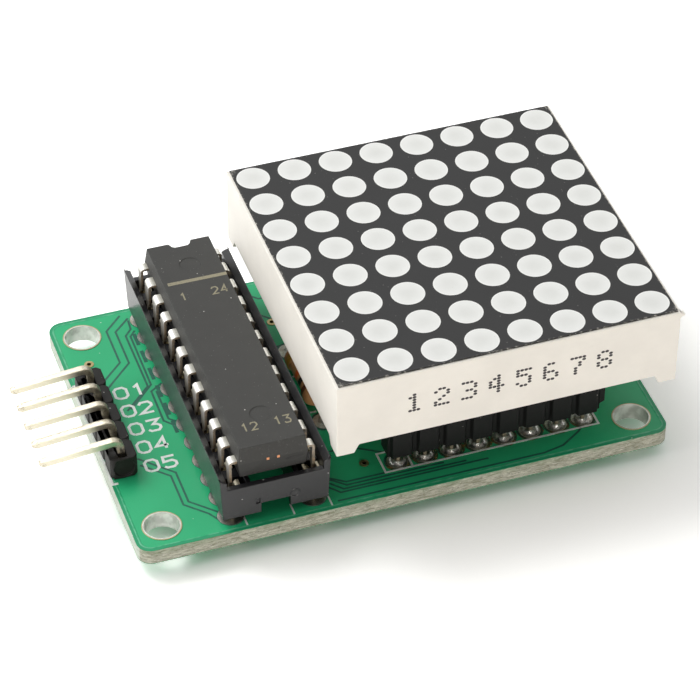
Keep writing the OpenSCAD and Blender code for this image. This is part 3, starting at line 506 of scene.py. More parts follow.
def dot_finish(s):
    """Milky dots. The shade follows the distance to the nearest dot centre, which is each
    coordinate folded into one pitch: clear in the middle, faintly grey towards the rim, and
    bright on the last tenth of a millimetre."""
    f = Finish("dot_resin")
    x, y, _ = f.xyz()
    pitch = s.pitch / MM
    fold_x = (x - BLOCK_X).wrap(pitch) - pitch / 2
    fold_y = y.wrap(pitch) - pitch / 2
    radius = (fold_x * fold_x + fold_y * fold_y) ** 0.5
    dot_r = s.dot / MM / 2
    rim = radius.step(dot_r - 0.16, dot_r - 0.04)
    dish = 1.0 - radius.step(0.2, dot_r)
    cloud = f.noise(0.9, 3, 0.55)
    base = f.blend(dish * 0.6 + cloud * 0.5, tuple(s.resin), ink(222, 223, 219))
    base = f.blend(rim * 0.7, base, ink(246, 246, 242))
    bubbles = f.specks(1.7, 0.06, 0.08)
    base = f.blend(bubbles * 0.5, base, ink(206, 205, 198))
    height = f.noise(2.5, 2) * 0.4 - dish
    return f.surface(**{
        "Base Color": base, "Roughness": 0.34 + cloud * 0.12, "Normal": f.bump(height, 0.1, 0.05),
        "Specular IOR Level": 0.4,
    })


def housing_finish(s):
    """White moulded housing: warm cloudy tone, sink marks behind the light wells, and pale
    rubbing with a few grey specks along its edges."""
    f = Finish("display_housing_plastic")
    cloud = f.noise(0.22, 4, 0.6)
    fine = f.noise(11, 3, 0.7)
    base = f.blend(cloud.step(0.3, 0.75), tuple(s.housing), tuple(min(1, c * 1.07) for c in s.housing))
    base = f.shade(base, fine * 0.05 + 0.97)
    grey = f.specks(1.2, 0.05, 0.09) * f.noise(0.8).step(0.45, 0.6)
    base = f.blend(grey * 0.55, base, ink(120, 114, 104))
    scuff = f.noise(1.0, 5, 0.75, at=f.stretched(0.5, 2.2, 2.2)).step(0.64, 0.8)
    base = f.blend(scuff * 0.18, base, ink(186, 178, 164))
    sink = f.noise(0.35, 1) * 0.7 + fine * 0.12
    return f.surface(**{
        "Base Color": base, "Roughness": 0.42 + fine * 0.1 + scuff * 0.15,
        "Normal": f.bump(sink, 0.25, 0.08), "Specular IOR Level": 0.35,
    })


def resistor_finish():
    """Painted resistor: tan body with four coloured bands at set places along Y."""
    f = Finish("resistor_paint")
    y = f.xyz()[1]
    low, high = corners("resistor_body")
    along = (y - low[1]) / float(high[1] - low[1])
    base = f.shade(ink(176, 128, 84), f.noise(1.6, 3) * 0.3 + 0.85)
    bands = (
        (0.14, ink(92, 50, 28)), (0.34, ink(24, 22, 22)),
        (0.5, ink(206, 92, 32)), (0.84, ink(158, 122, 48)),
    )
    for at, colour in bands:
        wavy = along + (f.noise(1.6, 2) - 0.5) * 0.02
        base = f.blend(1.0 - abs(wavy - at).step(0.04, 0.055), base, colour)
    return f.surface(**{
        "Base Color": base, "Roughness": 0.3 + f.noise(6) * 0.1, "Coat Weight": 0.3,
        "Normal": f.bump(f.noise(1.2, 3), 0.2, 0.06),
    })


def sleeve_finish():
    """Shrunk sleeve of the can capacitor: dark film with one pale stripe down one side."""
    f = Finish("can_sleeve_film")
    x, y, _ = f.xyz()
    low, high = corners("can_capacitor_sleeve")
    mid = (low + high) / 2
    turn = f.node("Math", {"operation": "ARCTAN2"}, {0: y - float(mid[1]), 1: x - float(mid[0])})
    stripe = 1.0 - abs(turn).step(0.34, 0.37)
    wrinkle = f.noise(1.0, 3, 0.6, at=f.stretched(2, 2, 0.6))
    base = f.blend(stripe, f.shade(ink(30, 34, 58), wrinkle * 0.4 + 0.8), ink(176, 180, 186))
    return f.surface(**{
        "Base Color": base, "Roughness": 0.26 + wrinkle * 0.16, "Normal": f.bump(wrinkle, 0.3, 0.06),
    })


def tinted(name, colour, other, scale=1.5, gloss=0.5, strength=0.2, spread=(0.35, 0.7)):
    """Plain small-part finish: two tones in cloudy patches with fine grain."""
    f = Finish(name)
    cloud = f.noise(scale, 4, 0.6)
    fine = f.noise(12, 3, 0.7)
    base = f.shade(f.blend(cloud.step(*spread), colour, other), fine * 0.12 + 0.94)
    return f.surface(**{
        "Base Color": base, "Roughness": gloss + fine * 0.14,
        "Normal": f.bump(cloud + fine * 0.4, strength, 0.04),
    })


def print_finish(name, colour, ground, wear=0.35, scale=5.0):
    """Printed ink: the ground shows through where the coat is thin."""
    f = Finish(name)
    thin = f.noise(scale, 4, 0.7).step(0.5, 0.72) * wear
    return f.surface(**{
        "Base Color": f.blend(thin, f.shade(colour, f.noise(9) * 0.14 + 0.93), ground),
        "Roughness": 0.5 + thin * 0.2, "Normal": f.bump(f.noise(14, 3), 0.15, 0.02),
    })


# --------------------------------------------------------------------- shapes


def bar(path, width, low, high, closed=False):
    """Flat bar along a bent line, as points and faces.

    Each edge runs half the width beside the line. At a bend both edges meet on the mean of the
    two sideways directions, lengthened by one over the cosine of half the turn. The section is
    a rectangle from low to high, and open bars are capped at both ends."""
    line = np.asarray(path, float)
    step = np.diff(np.vstack([line, line[:1]]) if closed else line, axis=0)
    step /= np.linalg.norm(step, axis=1, keepdims=True)
    beside = np.column_stack([-step[:, 1], step[:, 0]])
    before = np.roll(beside, 1, axis=0) if closed else np.vstack([beside[:1], beside])
    after = beside if closed else np.vstack([beside, beside[-1:]])
    mean = (before + after) / (1 + (before * after).sum(1, keepdims=True))
    left, right = line + mean * width / 2, line - mean * width / 2
    count = len(line)
    at = np.stack([right, left, left, right], axis=1)
    height = np.broadcast_to([low, low, high, high], (count, 4))[..., None]
    points = np.concatenate([at, height], axis=2).reshape(-1, 3)
    rows = np.arange(count if closed else count - 1)[:, None]
    turn = np.arange(4)
    this, after_row = rows * 4, (rows + 1) % count * 4
    faces = np.stack([
        this + turn, this + (turn + 1) % 4, after_row + (turn + 1) % 4, after_row + turn
    ], axis=2).reshape(-1, 4)
    if not closed:
        last = (count - 1) * 4
        faces = np.vstack([faces, [3, 2, 1, 0], [last, last + 1, last + 2, last + 3]])
    return points, faces


def ring(centre, radius, width, low, high, sides=28):
    """Flat ring: a closed bar along a circle."""
    angle = np.arange(sides) * 2 * pi / sides
    return bar(np.column_stack([np.cos(angle), np.sin(angle)]) * radius + centre,
               width, low, high, closed=True)


def patch(outline, low, high):
    """Flat slab on a closed outline: its points repeated at both heights, with a wall between
    and one face on each side."""
    line = np.asarray(outline, float)
    count = len(line)
    points = np.vstack([np.column_stack([line, np.full(count, z)]) for z in (low, high)])
    here = np.arange(count)
    after = (here + 1) % count
    walls = np.column_stack([here, after, after + count, here + count])
    return points, [*walls.tolist(), here[::-1].tolist(), (here + count).tolist()]


def blot(centre, radius, ripple, seed, low, high, sides=26):
    """Puddle with a wavy rim: its radius is the mean one times one plus a sum of three
    sine waves round the turn, with seeded sizes and phases."""
    draw = np.random.default_rng(seed)
    angle = np.arange(sides) * 2 * pi / sides
    waves = sum(
        draw.uniform(-1, 1) * ripple / n * np.sin(n * angle + draw.uniform(0, 2 * pi))
        for n in (2, 3, 5)
    )
    reach = radius * (1 + waves)
    return patch(np.column_stack([np.cos(angle), np.sin(angle)]) * reach[:, None] + centre, low, high)


def together(parts, turn=np.eye(3), move=(0, 0, 0)):
    """Joins lists of points and faces, then turns and moves them, in millimetres."""
    points, faces, start = [], [], 0
    for at, around in parts:
        points.append(at)
        faces += (np.asarray(around) + start).tolist() if isinstance(around, np.ndarray) else [
            [i + start for i in face] for face in around
        ]
        start += len(at)
    return np.vstack(points) @ np.asarray(turn).T + move, faces


def piece(name, points, faces, finish):
    """Mesh of points in millimetres, its faces turned outwards, riding on the one body."""
    mesh = bpy.data.meshes.new(name)
    mesh.from_pydata((points * MM).tolist(), [], faces)
    work = bmesh.new()
    work.from_mesh(mesh)
    bmesh.ops.recalc_face_normals(work, faces=work.faces)
    work.to_mesh(mesh)
    work.free()
    made = bpy.data.objects.new(name, mesh)
    bpy.context.scene.collection.objects.link(made)
    mesh.materials.append(finish)
    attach(made, "root")
    return made


def dress(finish, *nodes):
    """Puts a finish on CAD nodes whose shape is right."""
    for name in nodes:
        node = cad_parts[name]
        if not node.material_slots:
            raise RuntimeError(f"{name} has no material slot")
        for held in node.material_slots:
            held.material = finish


def soft_edged(node, finish, width, segments=2, reshape=None):
    """Copy of a CAD node with rounded edges, which stands for it.

    Its loose triangles are merged and its flat faces joined. Then each edge that turns by more
    than 30 degrees is cut back by the width, in steps that follow a quarter circle. The copy is
    drawn in by nothing, so it stays inside the node's own box."""
    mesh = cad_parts[node].data.copy()
    mesh.name = node + "_soft"
    work = bmesh.new()
    work.from_mesh(mesh)
    bmesh.ops.remove_doubles(work, verts=work.verts, dist=1e-7)
    bmesh.ops.dissolve_limit(
        work, angle_limit=radians(1), verts=work.verts, edges=work.edges, delimit=set())
    work.to_mesh(mesh)
    work.free()
    if reshape is not None:
        at = np.empty(len(mesh.vertices) * 3, np.float32)
        mesh.vertices.foreach_get("co", at)
        mesh.vertices.foreach_set("co", reshape(at.reshape(-1, 3) / MM).ravel() * MM)
    if "custom_normal" in mesh.attributes:
        mesh.attributes.remove(mesh.attributes["custom_normal"])
    mesh.shade_smooth()
    made = bpy.data.objects.new(node + "_soft", mesh)
    bpy.context.scene.collection.objects.link(made)
    mesh.materials.clear()
    mesh.materials.append(finish)
    bevel = made.modifiers.new("rounded_edges", "BEVEL")
    bevel.width = width * MM
    bevel.segments = segments
    bevel.limit_method = "ANGLE"
    bevel.angle_limit = radians(30)
    bevel.use_clamp_overlap = False
    bevel.miter_outer = "MITER_ARC"
    flat = made.modifiers.new("flat_faces", "WEIGHTED_NORMAL")
    flat.keep_sharp = False
    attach(made, "root")
    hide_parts(node)
    return made


STROKES = {
    "0": [[(0.25, 0), (0.75, 0), (1, 0.2), (1, 0.8), (0.75, 1), (0.25, 1), (0, 0.8), (0, 0.2), (0.25, 0)]],
    "1": [[(0.2, 0.8), (0.55, 1), (0.55, 0)]],
    "2": [[(0, 0.8), (0.2, 1), (0.8, 1), (1, 0.8), (1, 0.6), (0, 0), (1, 0)]],
    "3": [[(0, 1), (1, 1), (0.5, 0.6), (0.8, 0.55), (1, 0.38), (1, 0.2), (0.8, 0), (0.2, 0),
           (0, 0.15)]],
    "4": [[(0.75, 0), (0.75, 1), (0, 0.3), (1, 0.3)]],
    "5": [[(1, 1), (0.1, 1), (0.05, 0.55), (0.75, 0.6), (1, 0.42), (1, 0.18), (0.75, 0), (0.2, 0),
           (0, 0.12)]],
}
DOTTED = {
    "1": "010 110 010 010 010 010 111", "2": "0110 1001 0001 0010 0100 1000 1111",
    "3": "1110 0001 0001 0110 0001 0001 1110", "4": "0010 0110 1010 1010 1111 0010 0010",
    "5": "1111 1000 1110 0001 0001 1001 0110", "6": "0110 1000 1000 1110 1001 1001 0110",
    "7": "1111 0001 0010 0010 0100 0100 0100", "8": "0110 1001 1001 0110 1001 1001 0110",
}


def stroked(text, corner, size, pen, low, high, gap=0.45):
    """Digits drawn with a pen of one width: size is a digit's width and height."""
    parts = []
    for place, sign in enumerate(text):
        start = np.array(corner) + [place * (size[0] + gap), 0]
        parts += [bar(np.array(line) * size + start, pen, low, high) for line in STROKES[sign]]
    return parts


def dotted(sign, centre, pitch, dot, low, high):
    """A digit printed as rows of dots, each an eight-sided slab wider than it is high."""
    rows = DOTTED[sign].split()
    angle = radians(22.5) + np.arange(8) * pi / 4
    outline = np.column_stack([np.cos(angle), np.sin(angle)]) * np.array(dot) / 2
    middle = (len(rows[0]) - 1) / 2, (len(rows) - 1) / 2
    return [
        patch(outline + centre + np.array([(column - middle[0]) * pitch[0],
                                           (middle[1] - row) * pitch[1]]), low, high)
        for row, marks in enumerate(rows) for column, mark in enumerate(marks) if mark == "1"
    ]


# ------------------------------------------------------- sizes a user may change


class BoardSettings(bpy.types.PropertyGroup):
    mask: FloatVectorProperty(
        name="Mask", description="Green of the solder mask over copper", subtype="COLOR",
        size=3, min=0, max=1, default=ink(44, 178, 120))
    clearance: FloatVectorProperty(
        name="Clearance", description="Green of the mask where the copper under it ends",
        subtype="COLOR", size=3, min=0, max=1, default=ink(12, 92, 74))
    legend: FloatVectorProperty(
        name="Legend", description="White of the printed lines and digits", subtype="COLOR",
        size=3, min=0, max=1, default=ink(236, 240, 236))
    corner: FloatProperty(
        name="Corner Radius", description="Rounding of the board's corners", unit="LENGTH",
        min=0, default=1.35 * MM)
    gap: FloatProperty(
        name="Track Gap", description="Width of the gap beside each track", unit="LENGTH",
        min=0.05 * MM, default=0.2 * MM)
    pen: FloatProperty(
        name="Legend Pen", description="Width of the printed lines", unit="LENGTH",
        min=0.1 * MM, default=0.2 * MM)


class ChipSettings(bpy.types.PropertyGroup):
    epoxy: FloatVectorProperty(
        name="Epoxy", description="Grey of the driver chip's body", subtype="COLOR",
        size=3, min=0, max=1, default=ink(64, 64, 62))
    stripe: FloatVectorProperty(
        name="Stripe", description="Ink of the stripe across the chip", subtype="COLOR",
        size=3, min=0, max=1, default=ink(140, 134, 110))
    parting: FloatProperty(
        name="Parting Line", description="Height of the line between the body's halves",
        unit="LENGTH", min=0, default=float(CHIP_LOW[2] + CHIP_HIGH[2]) / 2 * MM)


class DisplaySettings(bpy.types.PropertyGroup):
    housing: FloatVectorProperty(
        name="Housing", description="White of the display's housing", subtype="COLOR",
        size=3, min=0, max=1, default=ink(244, 240, 231))
    face: FloatVectorProperty(
        name="Face Layer", description="Dark layer round the dots", subtype="COLOR",
        size=3, min=0, max=1, default=ink(30, 30, 30))
    resin: FloatVectorProperty(
        name="Dots", description="Milky resin of the dots", subtype="COLOR",
        size=3, min=0, max=1, default=ink(240, 241, 238))
    pitch: FloatProperty(
        name="Dot Pitch", description="Distance between dot centres", unit="LENGTH",
        min=1 * MM, default=4 * MM)
    dot: FloatProperty(
        name="Dot Diameter", description="Diameter of each dot", unit="LENGTH",
        min=0.5 * MM, default=3.1 * MM)


class StageSettings(bpy.types.PropertyGroup):
    key: FloatProperty(
        name="Key Light", description="Share of full light on a face turned to the lamp",
        min=0, max=3, default=0.5)
    sky: FloatProperty(
        name="Sky Light", description="Even light from all round", min=0, max=1, default=0.55)
    lift: FloatProperty(
        name="Floor Lift", description="Whiteness of the floor as seen: above 1, soft shade on it fades",
        min=0, max=2, default=1.45)


# ---------------------------------------------------------------------- pieces

TOP_GAPS = [
    [(-18.06, 15.2), (-19.85, 13.4), (-19.85, 8.75), (-21.9, 6.75)],
    [(-17.44, 14.6), (-19.06, 13.06), (-19.06, 8.44), (-21.9, 5.6)],
    [(-17.5, 14.3), (-17.6, 13.0), (-18.31, 12.2), (-18.31, 4.8), (-21.0, 2.1)],
    [(-17.3, 12.7), (-17.9, 12.0), (-17.97, 4.9), (-20.6, 2.2)],
    [(-17.0, 4.8), (-18.2, 4.0), (-18.25, -0.19), (-17.5, -1.06), (-17.46, -1.6)],
    [(-17.0, 4.45), (-17.75, 3.8), (-17.75, -0.06), (-17.1, -0.7)],
    [(-21.9, -5.2), (-19.69, -7.4), (-19.69, -11.3), (-17.88, -13.1), (-17.3, -14.1)],
    [(-21.9, -4.3), (-20.0, -6.25), (-19.15, -7.1), (-19.15, -11.06), (-17.1, -13.1)],
    [(-8.0, -11.2), (-6.4, -12.2), (-5.1, -13.1), (2.0, -13.1)],
    [(-7.4, -11.6), (-6.2, -12.6), (-5.2, -13.5), (4.0, -13.5)],
    [(-6.8, -12.6), (-5.6, -13.9), (6.0, -13.9)],
    [(-6.9, -13.2), (-6.0, -14.25), (8.0, -14.25)],
    [(-6.6, -15.2), (13.0, -15.2), (15.0, -14.8), (17.0, -13.5), (19.4, -11.2), (19.4, -6.0)],
    [(-7.0, 14.2), (-5.6, 12.8), (-5.6, 11.2), (-4.0, 9.6)],
    [(-6.4, 14.9), (-4.9, 13.4), (16.0, 13.4), (18.8, 10.6)],
    [(-6.8, 6.3), (-3.0, 6.3), (0.4, 9.7)],
    [(-6.8, 5.8), (-2.8, 5.8), (0.8, 9.4)],
    [(-6.8, -8.9), (-3.4, -8.9), (-0.6, -10.6)],
    [(12.0, -2.0), (17.0, -2.0), (21.6, 2.6)],
    [(6.4, 5.0), (14.0, 5.0), (18.4, 0.6), (21.8, 0.6)],
    [(2.8, 5.9), (2.8, 8.6), (5.2, 11.0)],
]
UNDER_TRACKS = [
    [(-23.6, 5.08), (-21.2, 7.48), (-21.2, 12.0), (-19.2, 13.97), (-16.14, 13.97)],
    [(-23.6, 2.54), (-20.4, 5.74), (-20.4, 10.2), (-19.17, 11.43), (-16.14, 11.43)],
    [(-23.6, 0.0), (-19.9, 0.0), (-18.2, 1.27), (-16.14, 1.27)],
    [(-23.6, -2.54), (-19.8, -2.54), (-18.6, -3.81), (-16.14, -3.81)],
    [(-23.6, -5.08), (-20.6, -8.08), (-19.8, -8.89), (-16.14, -8.89)],
    [(-8.52, 13.97), (-2.2, 13.97), (-0.2, 12.0), (0.11, 12.0)],
    [(-8.52, 11.43), (-4.6, 11.43), (-2.0, 8.8), (0.5, 8.8), (2.65, 11.0)],
    [(-8.52, 8.89), (-5.6, 8.89), (-3.3, 6.6), (2.4, 6.6), (5.19, 9.4), (5.19, 12.0)],
    [(-8.52, 6.35), (-1.6, 6.35), (0.3, 4.4), (4.0, 4.4), (7.73, 8.1), (7.73, 12.0)],
    [(-8.52, 3.81), (-0.4, 3.81), (1.0, 2.4), (7.6, 2.4), (10.27, 5.1), (10.27, 12.0)],
    [(-8.52, 1.27), (9.0, 1.27), (12.81, 5.1), (12.81, 12.0)],
    [(-8.52, -1.27), (8.0, -1.27), (10.0, -1.27)],
    [(-8.52, -3.81), (12.2, -3.81), (15.35, -0.7), (15.35, 12.0)],
    [(-8.52, -6.35), (-2.6, -6.35), (0.11, -9.1), (0.11, -12.0)],
    [(-8.52, -8.89), (-4.4, -8.89), (-2.3, -11.0), (-1.9, -13.6), (2.2, -13.6), (2.65, -12.0)],
    [(-8.52, -11.43), (-5.4, -11.43), (-2.4, -14.4), (4.3, -14.4), (5.19, -12.0)],
    [(23.6, 5.08), (20.4, 8.28), (17.89, 10.8), (17.89, 12.0)],
    [(23.6, -5.08), (20.2, -8.4), (17.89, -10.6), (17.89, -12.0)],
    [(23.6, 0.0), (19.4, 0.0), (16.4, -3.0), (12.81, -6.6), (12.81, -12.0)],
    [(23.6, -2.54), (20.8, -2.54), (15.35, -8.0), (15.35, -12.0)],
]


def spread(node, margin, across, along):
    """Places in a grid between the outer leads of a node, whose box is drawn in by the margin."""
    low, high = corners(node)
    x = np.linspace(low[0] + margin, high[0] - margin, across) if across > 1 else [(low[0] + high[0]) / 2]
    y = np.linspace(low[1] + margin, high[1] - margin, along) if along > 1 else [(low[1] + high[1]) / 2]
    return np.stack(np.meshgrid(x, y), axis=-1).reshape(-1, 2)


def lead_places():
    """Plan place of every lead hole, row by row, from the boxes of what stands in them."""
    header = spread("header_solder", 0.9, 1, 5)
    output = header * [0, 1] + [corners("plated_pads")[1][0] - 1.0, 0]
    return np.vstack([
        spread("socket_solder", 0.9, 2, 12), header, output, spread("plug_solder", 0.9, 8, 2),
        spread("resistor_leads", 0.25, 1, 2), spread("disc_capacitor_legs", 0.25, 2, 1),
        spread("can_capacitor_legs", 0.25, 1, 2),
    ])


class MODULE_OT_board(bpy.types.Operator):
    """Finish the board and lay its track gaps, pad gaps and printed legend"""
    bl_idname = "module.board"
    bl_label = "Board"

    def execute(self, context):
        s = context.scene.module_board
        gap, pen = s.gap / MM, s.pen / MM
        dress(board_finish(s), "circuit_board")
        dress(ring_finish(), "mounting_hole_plating")
        tin = plated("pad_tin", ink(226, 226, 220), ink(176, 174, 166), (2, 2, 2), ink(128, 108, 66), 0.5)
        dress(tin, "plated_pads")
        dress(plated("via_gold", ink(196, 178, 128), ink(128, 116, 78), (3, 3, 3)), "via_plating")

        dark = print_finish("mask_over_bare_laminate", tuple(s.clearance), tuple(s.mask), 0.25, 1.2)
        skin = (-0.03, 0.012)
        pads = PAD_PLACES
        top = [bar(line, gap, *skin) for line in TOP_GAPS]
        top += [ring(at, 1.13, 0.24, -0.03, 0.008) for at in pads]
        row_x = pads[np.abs(pads[:, 0] - (CHIP_X - 3.81)) < 0.3][:, 0].mean()
        rows = pads[np.abs(pads[:, 0] - row_x) < 0.3][:, 1]
        top += [bar([(row_x - 1.36, y - 0.85), (row_x - 1.36, y + 0.85)], 0.36, -0.03, 0.006)
                for y in np.sort(rows)[5:-1]]
        points, faces = together(top, move=(0, 0, BOARD_TOP))
        piece("track_gaps_top", points, faces, dark)

        sides = []
        for line in UNDER_TRACKS:
            step = np.array(line, float)
            for shift in (-0.32, 0.32):
                sides.append(bar(offset(step, shift), gap * 0.85, *skin))
        sides += [ring(at, 1.13, 0.24, -0.03, 0.008) for at in pads]
        points, faces = together([(p * [1, -1, 1], f) for p, f in sides], UNDERSIDE)
        piece("track_gaps_under", points, faces, dark)

        white = print_finish("legend_ink", tuple(s.legend), tuple(s.mask), 0.4, 4.0)
        high = (-0.03, 0.02)
        plugs = pads[np.abs(pads[:, 1] + 12.0) < 0.3]
        left, right = plugs[:, 0].min() - 1.49, plugs[:, 0].max() + 1.21
        legend = []
        for near, far in ((-13.1, -10.55), (13.45, 10.55)):
            outline = [(left, near), (right, near), (right, far), (left, far)]
            legend.append(bar(outline, pen, *high, closed=True))
            legend.append(bar([(left + 2.58, near), (left + 2.58, far)], pen, *high))
        legend += [bar([(CHIP_X + x, -14.2), (CHIP_X + x, -15.55)], pen * 0.8, *high)
                   for x in (-2.75, 1.6, 5.1)]
        legend += [
            bar([(-24.9, 6.9), (-24.9, -6.85), (-24.4, -6.85)], pen * 1.2, *high),
            bar([(-24.9, 6.9), (-24.4, 6.9)], pen * 1.2, *high),
            bar([(-5.3, 1.8), (-4.7, 1.8)], pen, *high),
            bar([(-5.3, -3.4), (-4.7, -3.4)], pen, *high),
        ]
        for number in range(1, 6):
            corner = (-21.5, (3 - number) * GRID - 1.2)
            legend += stroked(f"0{number}", corner, (1.15, 1.45), 0.26, *high, gap=0.5)
        legend += stroked("1", (-5.4, 2.4), (0.7, 1.4), 0.22, *high)
        points, faces = together(legend, move=(0, 0, BOARD_TOP))
        piece("legend_print", points, faces, white)
        return {"FINISHED"}


def offset(line, shift):
    """Line moved sideways by the shift: at each bend along the mean of both sideways
    directions, lengthened by one over the cosine of half the turn."""
    points, _ = bar(line, 2 * abs(shift), 0, 1)
    quads = points.reshape(-1, 4, 3)
    return quads[:, 1 if shift > 0 else 0, :2]


class MODULE_OT_solder(bpy.types.Operator):
    """Finish the solder joints and leave films of flux round the hand-soldered ones"""
    bl_idname = "module.solder"
    bl_label = "Solder"

    def execute(self, context):
        dress(solder_finish(), "header_solder", "socket_solder", "plug_solder", "component_solder")
        f = Finish("flux_film")
        cloud = f.noise(1.8, 4, 0.65)
        film = f.surface(**{
            "Base Color": f.blend(cloud.step(0.3, 0.7), ink(72, 60, 26), ink(150, 122, 62)),
            "Roughness": 0.16 + cloud * 0.2, "Alpha": 0.25 + cloud.step(0.4, 0.7) * 0.45,
            "Normal": f.bump(cloud, 0.4, 0.1),
        })
        plugs = PAD_PLACES[np.abs(np.abs(PAD_PLACES[:, 1]) - 12.0) < 0.3]
        blots = [blot(at + [0.05, -0.1], 1.22, 0.16, 31 + i, -0.03, 0.016) for i, at in enumerate(plugs)]
        points, faces = together(blots, move=(0, 0, BOARD_TOP))
        piece("flux_film", points, faces, film)
        return {"FINISHED"}


class MODULE_OT_pin_header(bpy.types.Operator):
    """Finish the right-angle pin header"""
    bl_idname = "module.pin_header"
    bl_label = "Pin Header"

    def execute(self, context):
        strip = moulded("header_strip_plastic", ink(27, 26, 24), 0.5, 0.4, 0.2, 0.25, 0.7, 0.2)
        soft_edged("header_strip", strip, 0.07)
        soft_edged("header_pins", pin_finish(), 0.05)
        return {"FINISHED"}


class MODULE_OT_chip_socket(bpy.types.Operator):
    """Finish the chip's socket and its sprung contacts"""
    bl_idname = "module.chip_socket"
    bl_label = "Chip Socket"

    def execute(self, context):
        plastic = moulded("socket_plastic", ink(34, 34, 36), 0.3, 0.16, 0.12, 0.05, 0.25, 0.5)
        soft_edged("socket_frame", plastic, 0.06)
        sheet = plated("contact_strip", ink(228, 222, 204), ink(170, 160, 132), (9, 9, 1),
                       ink(120, 92, 52), 0.5)
        dress(sheet, "socket_contacts", "front_plug_contacts", "back_plug_contacts")
        return {"FINISHED"}


class MODULE_OT_driver_chip(bpy.types.Operator):
    """Finish the driver chip's body and leads, and print its stripe and lead numbers"""
    bl_idname = "module.driver_chip"
    bl_label = "Driver Chip"

    def execute(self, context):
        s = context.scene.module_chip
        soft_edged("chip_body", chip_finish(s), 0.05)
        dress(lead_finish(), "chip_leads")
        inked = print_finish("chip_ink", tuple(s.stripe), tuple(s.epoxy), 0.5, 6.0)
        end = CHIP_HIGH[1]
        left, right = CHIP_X - 2.62, CHIP_X + 2.98
        marks = [bar([(left, end - 5.86), (right, end - 5.92)], 0.42, -0.03, 0.008)]
        turned = [
            ("1", -2.0, end - 8.4), ("12", -2.0, -end + 2.2),
            ("13", 1.0, -end + 2.2), ("24", 1.0, end - 8.4),
        ]
        marks += [
            part for text, x, y in turned
            for part in stroked(text, (CHIP_X + x, y), (0.55, 0.95), 0.14, -0.03, 0.008, 0.3)
        ]
        points, faces = together(marks, move=(0, 0, CHIP_HIGH[2]))
        piece("chip_print", points, faces, inked)
        return {"FINISHED"}


class MODULE_OT_display_headers(bpy.types.Operator):
    """Finish the two headers under the display"""
    bl_idname = "module.display_headers"
    bl_label = "Display Headers"

    def execute(self, context):
        plastic = moulded("plug_plastic", ink(18, 18, 18), 0.46, 0.3, 0.16, 0.08, 0.2, 0.2)
        soft_edged("front_plug_housing", plastic, 0.05)
        soft_edged("back_plug_housing", plastic, 0.05)
        return {"FINISHED"}


class MODULE_OT_display_block(bpy.types.Operator):
    """Finish the display block and print the pin numbers on its front wall"""
    bl_idname = "module.display_block"
    bl_label = "Display Block"

    def execute(self, context):
        s = context.scene.module_display
        coat = 0.012

        def draw_in(at):
            scale = np.ones(3)
            scale[1] = (BOARD_HIGH[1] - coat) / BOARD_HIGH[1]
            return at * scale

        soft_edged("display_housing", housing_finish(s), 0.1, 3, draw_in)
        dress(face_finish(s), "display_face")
        dress(dot_finish(s), "dot_lenses")
        dress(tinted("display_board", ink(38, 120, 74), ink(64, 150, 96)), "led_board")
        dress(tinted("light_emitting_chip", ink(206, 92, 70), ink(232, 150, 110), 8), "led_chips")
        seal = tinted("seal_resin", ink(226, 220, 200), ink(244, 240, 226), 0.4, 0.25, 0.35)
        dress(seal, "display_seal")
        pins = plated("display_pin_tin", ink(226, 224, 216), ink(180, 176, 164), (12, 12, 0.8))
        dress(pins, "front_display_pins", "back_display_pins")

        black = print_finish("pin_number_ink", ink(46, 41, 43), ink(150, 140, 134), 0.3, 5.0)
        first = BLOCK_X - 3.5 * GRID
        marks = []
        for number in range(1, 9):
            centre = (first + (number - 1) * GRID, 12.1)
            marks += dotted(str(number), centre, (0.38, 0.3), (0.37, 0.28), -0.03, coat)
        points, faces = together(marks, FRONT_WALL.T, (0, coat - BOARD_HIGH[1], 0))
        piece("pin_number_print", points, faces, black)
        return {"FINISHED"}


class MODULE_OT_loose_components(bpy.types.Operator):
    """Finish the resistor and the two capacitors beside the chip"""
    bl_idname = "module.loose_components"
    bl_label = "Loose Components"

    def execute(self, context):
        dress(resistor_finish(), "resistor_body")
        wire = plated("tinned_wire", ink(224, 223, 216), ink(168, 166, 158), (1.5, 1.5, 1.5))
        dress(wire, "resistor_leads", "disc_capacitor_legs", "can_capacitor_legs")
        coat = tinted("disc_coat", ink(176, 112, 52), ink(198, 138, 74), 0.8, 0.35, 0.3)
        dress(coat, "disc_capacitor_body")
        can = plated("can_aluminium", ink(218, 219, 221), ink(176, 178, 180), (12, 12, 1), amount=0.15)
        dress(can, "can_capacitor_can")
        dress(sleeve_finish(), "can_capacitor_sleeve")
        dress(tinted("bung_rubber", ink(22, 22, 23), ink(40, 40, 41), 2.0, 0.7), "can_capacitor_bung")
        return {"FINISHED"}


def lamp(name, towards, size, share, colour=(1, 1, 1), distance=1.0):
    """Square lamp that faces the part. Its power gives a face turned to it that share of the
    light at which a colour renders as written: share times pi squared times the distance squared."""
    data = bpy.data.lights.new(name, "AREA")
    data.shape = "SQUARE"
    data.size = size
    data.energy = share * pi ** 2 * distance ** 2
    data.color = colour
    made = bpy.data.objects.new(name, data)
    way = Vector(towards).normalized()
    made.location = way * distance
    made.rotation_euler = way.to_track_quat("Z", "Y").to_euler()
    bpy.context.scene.collection.objects.link(made)


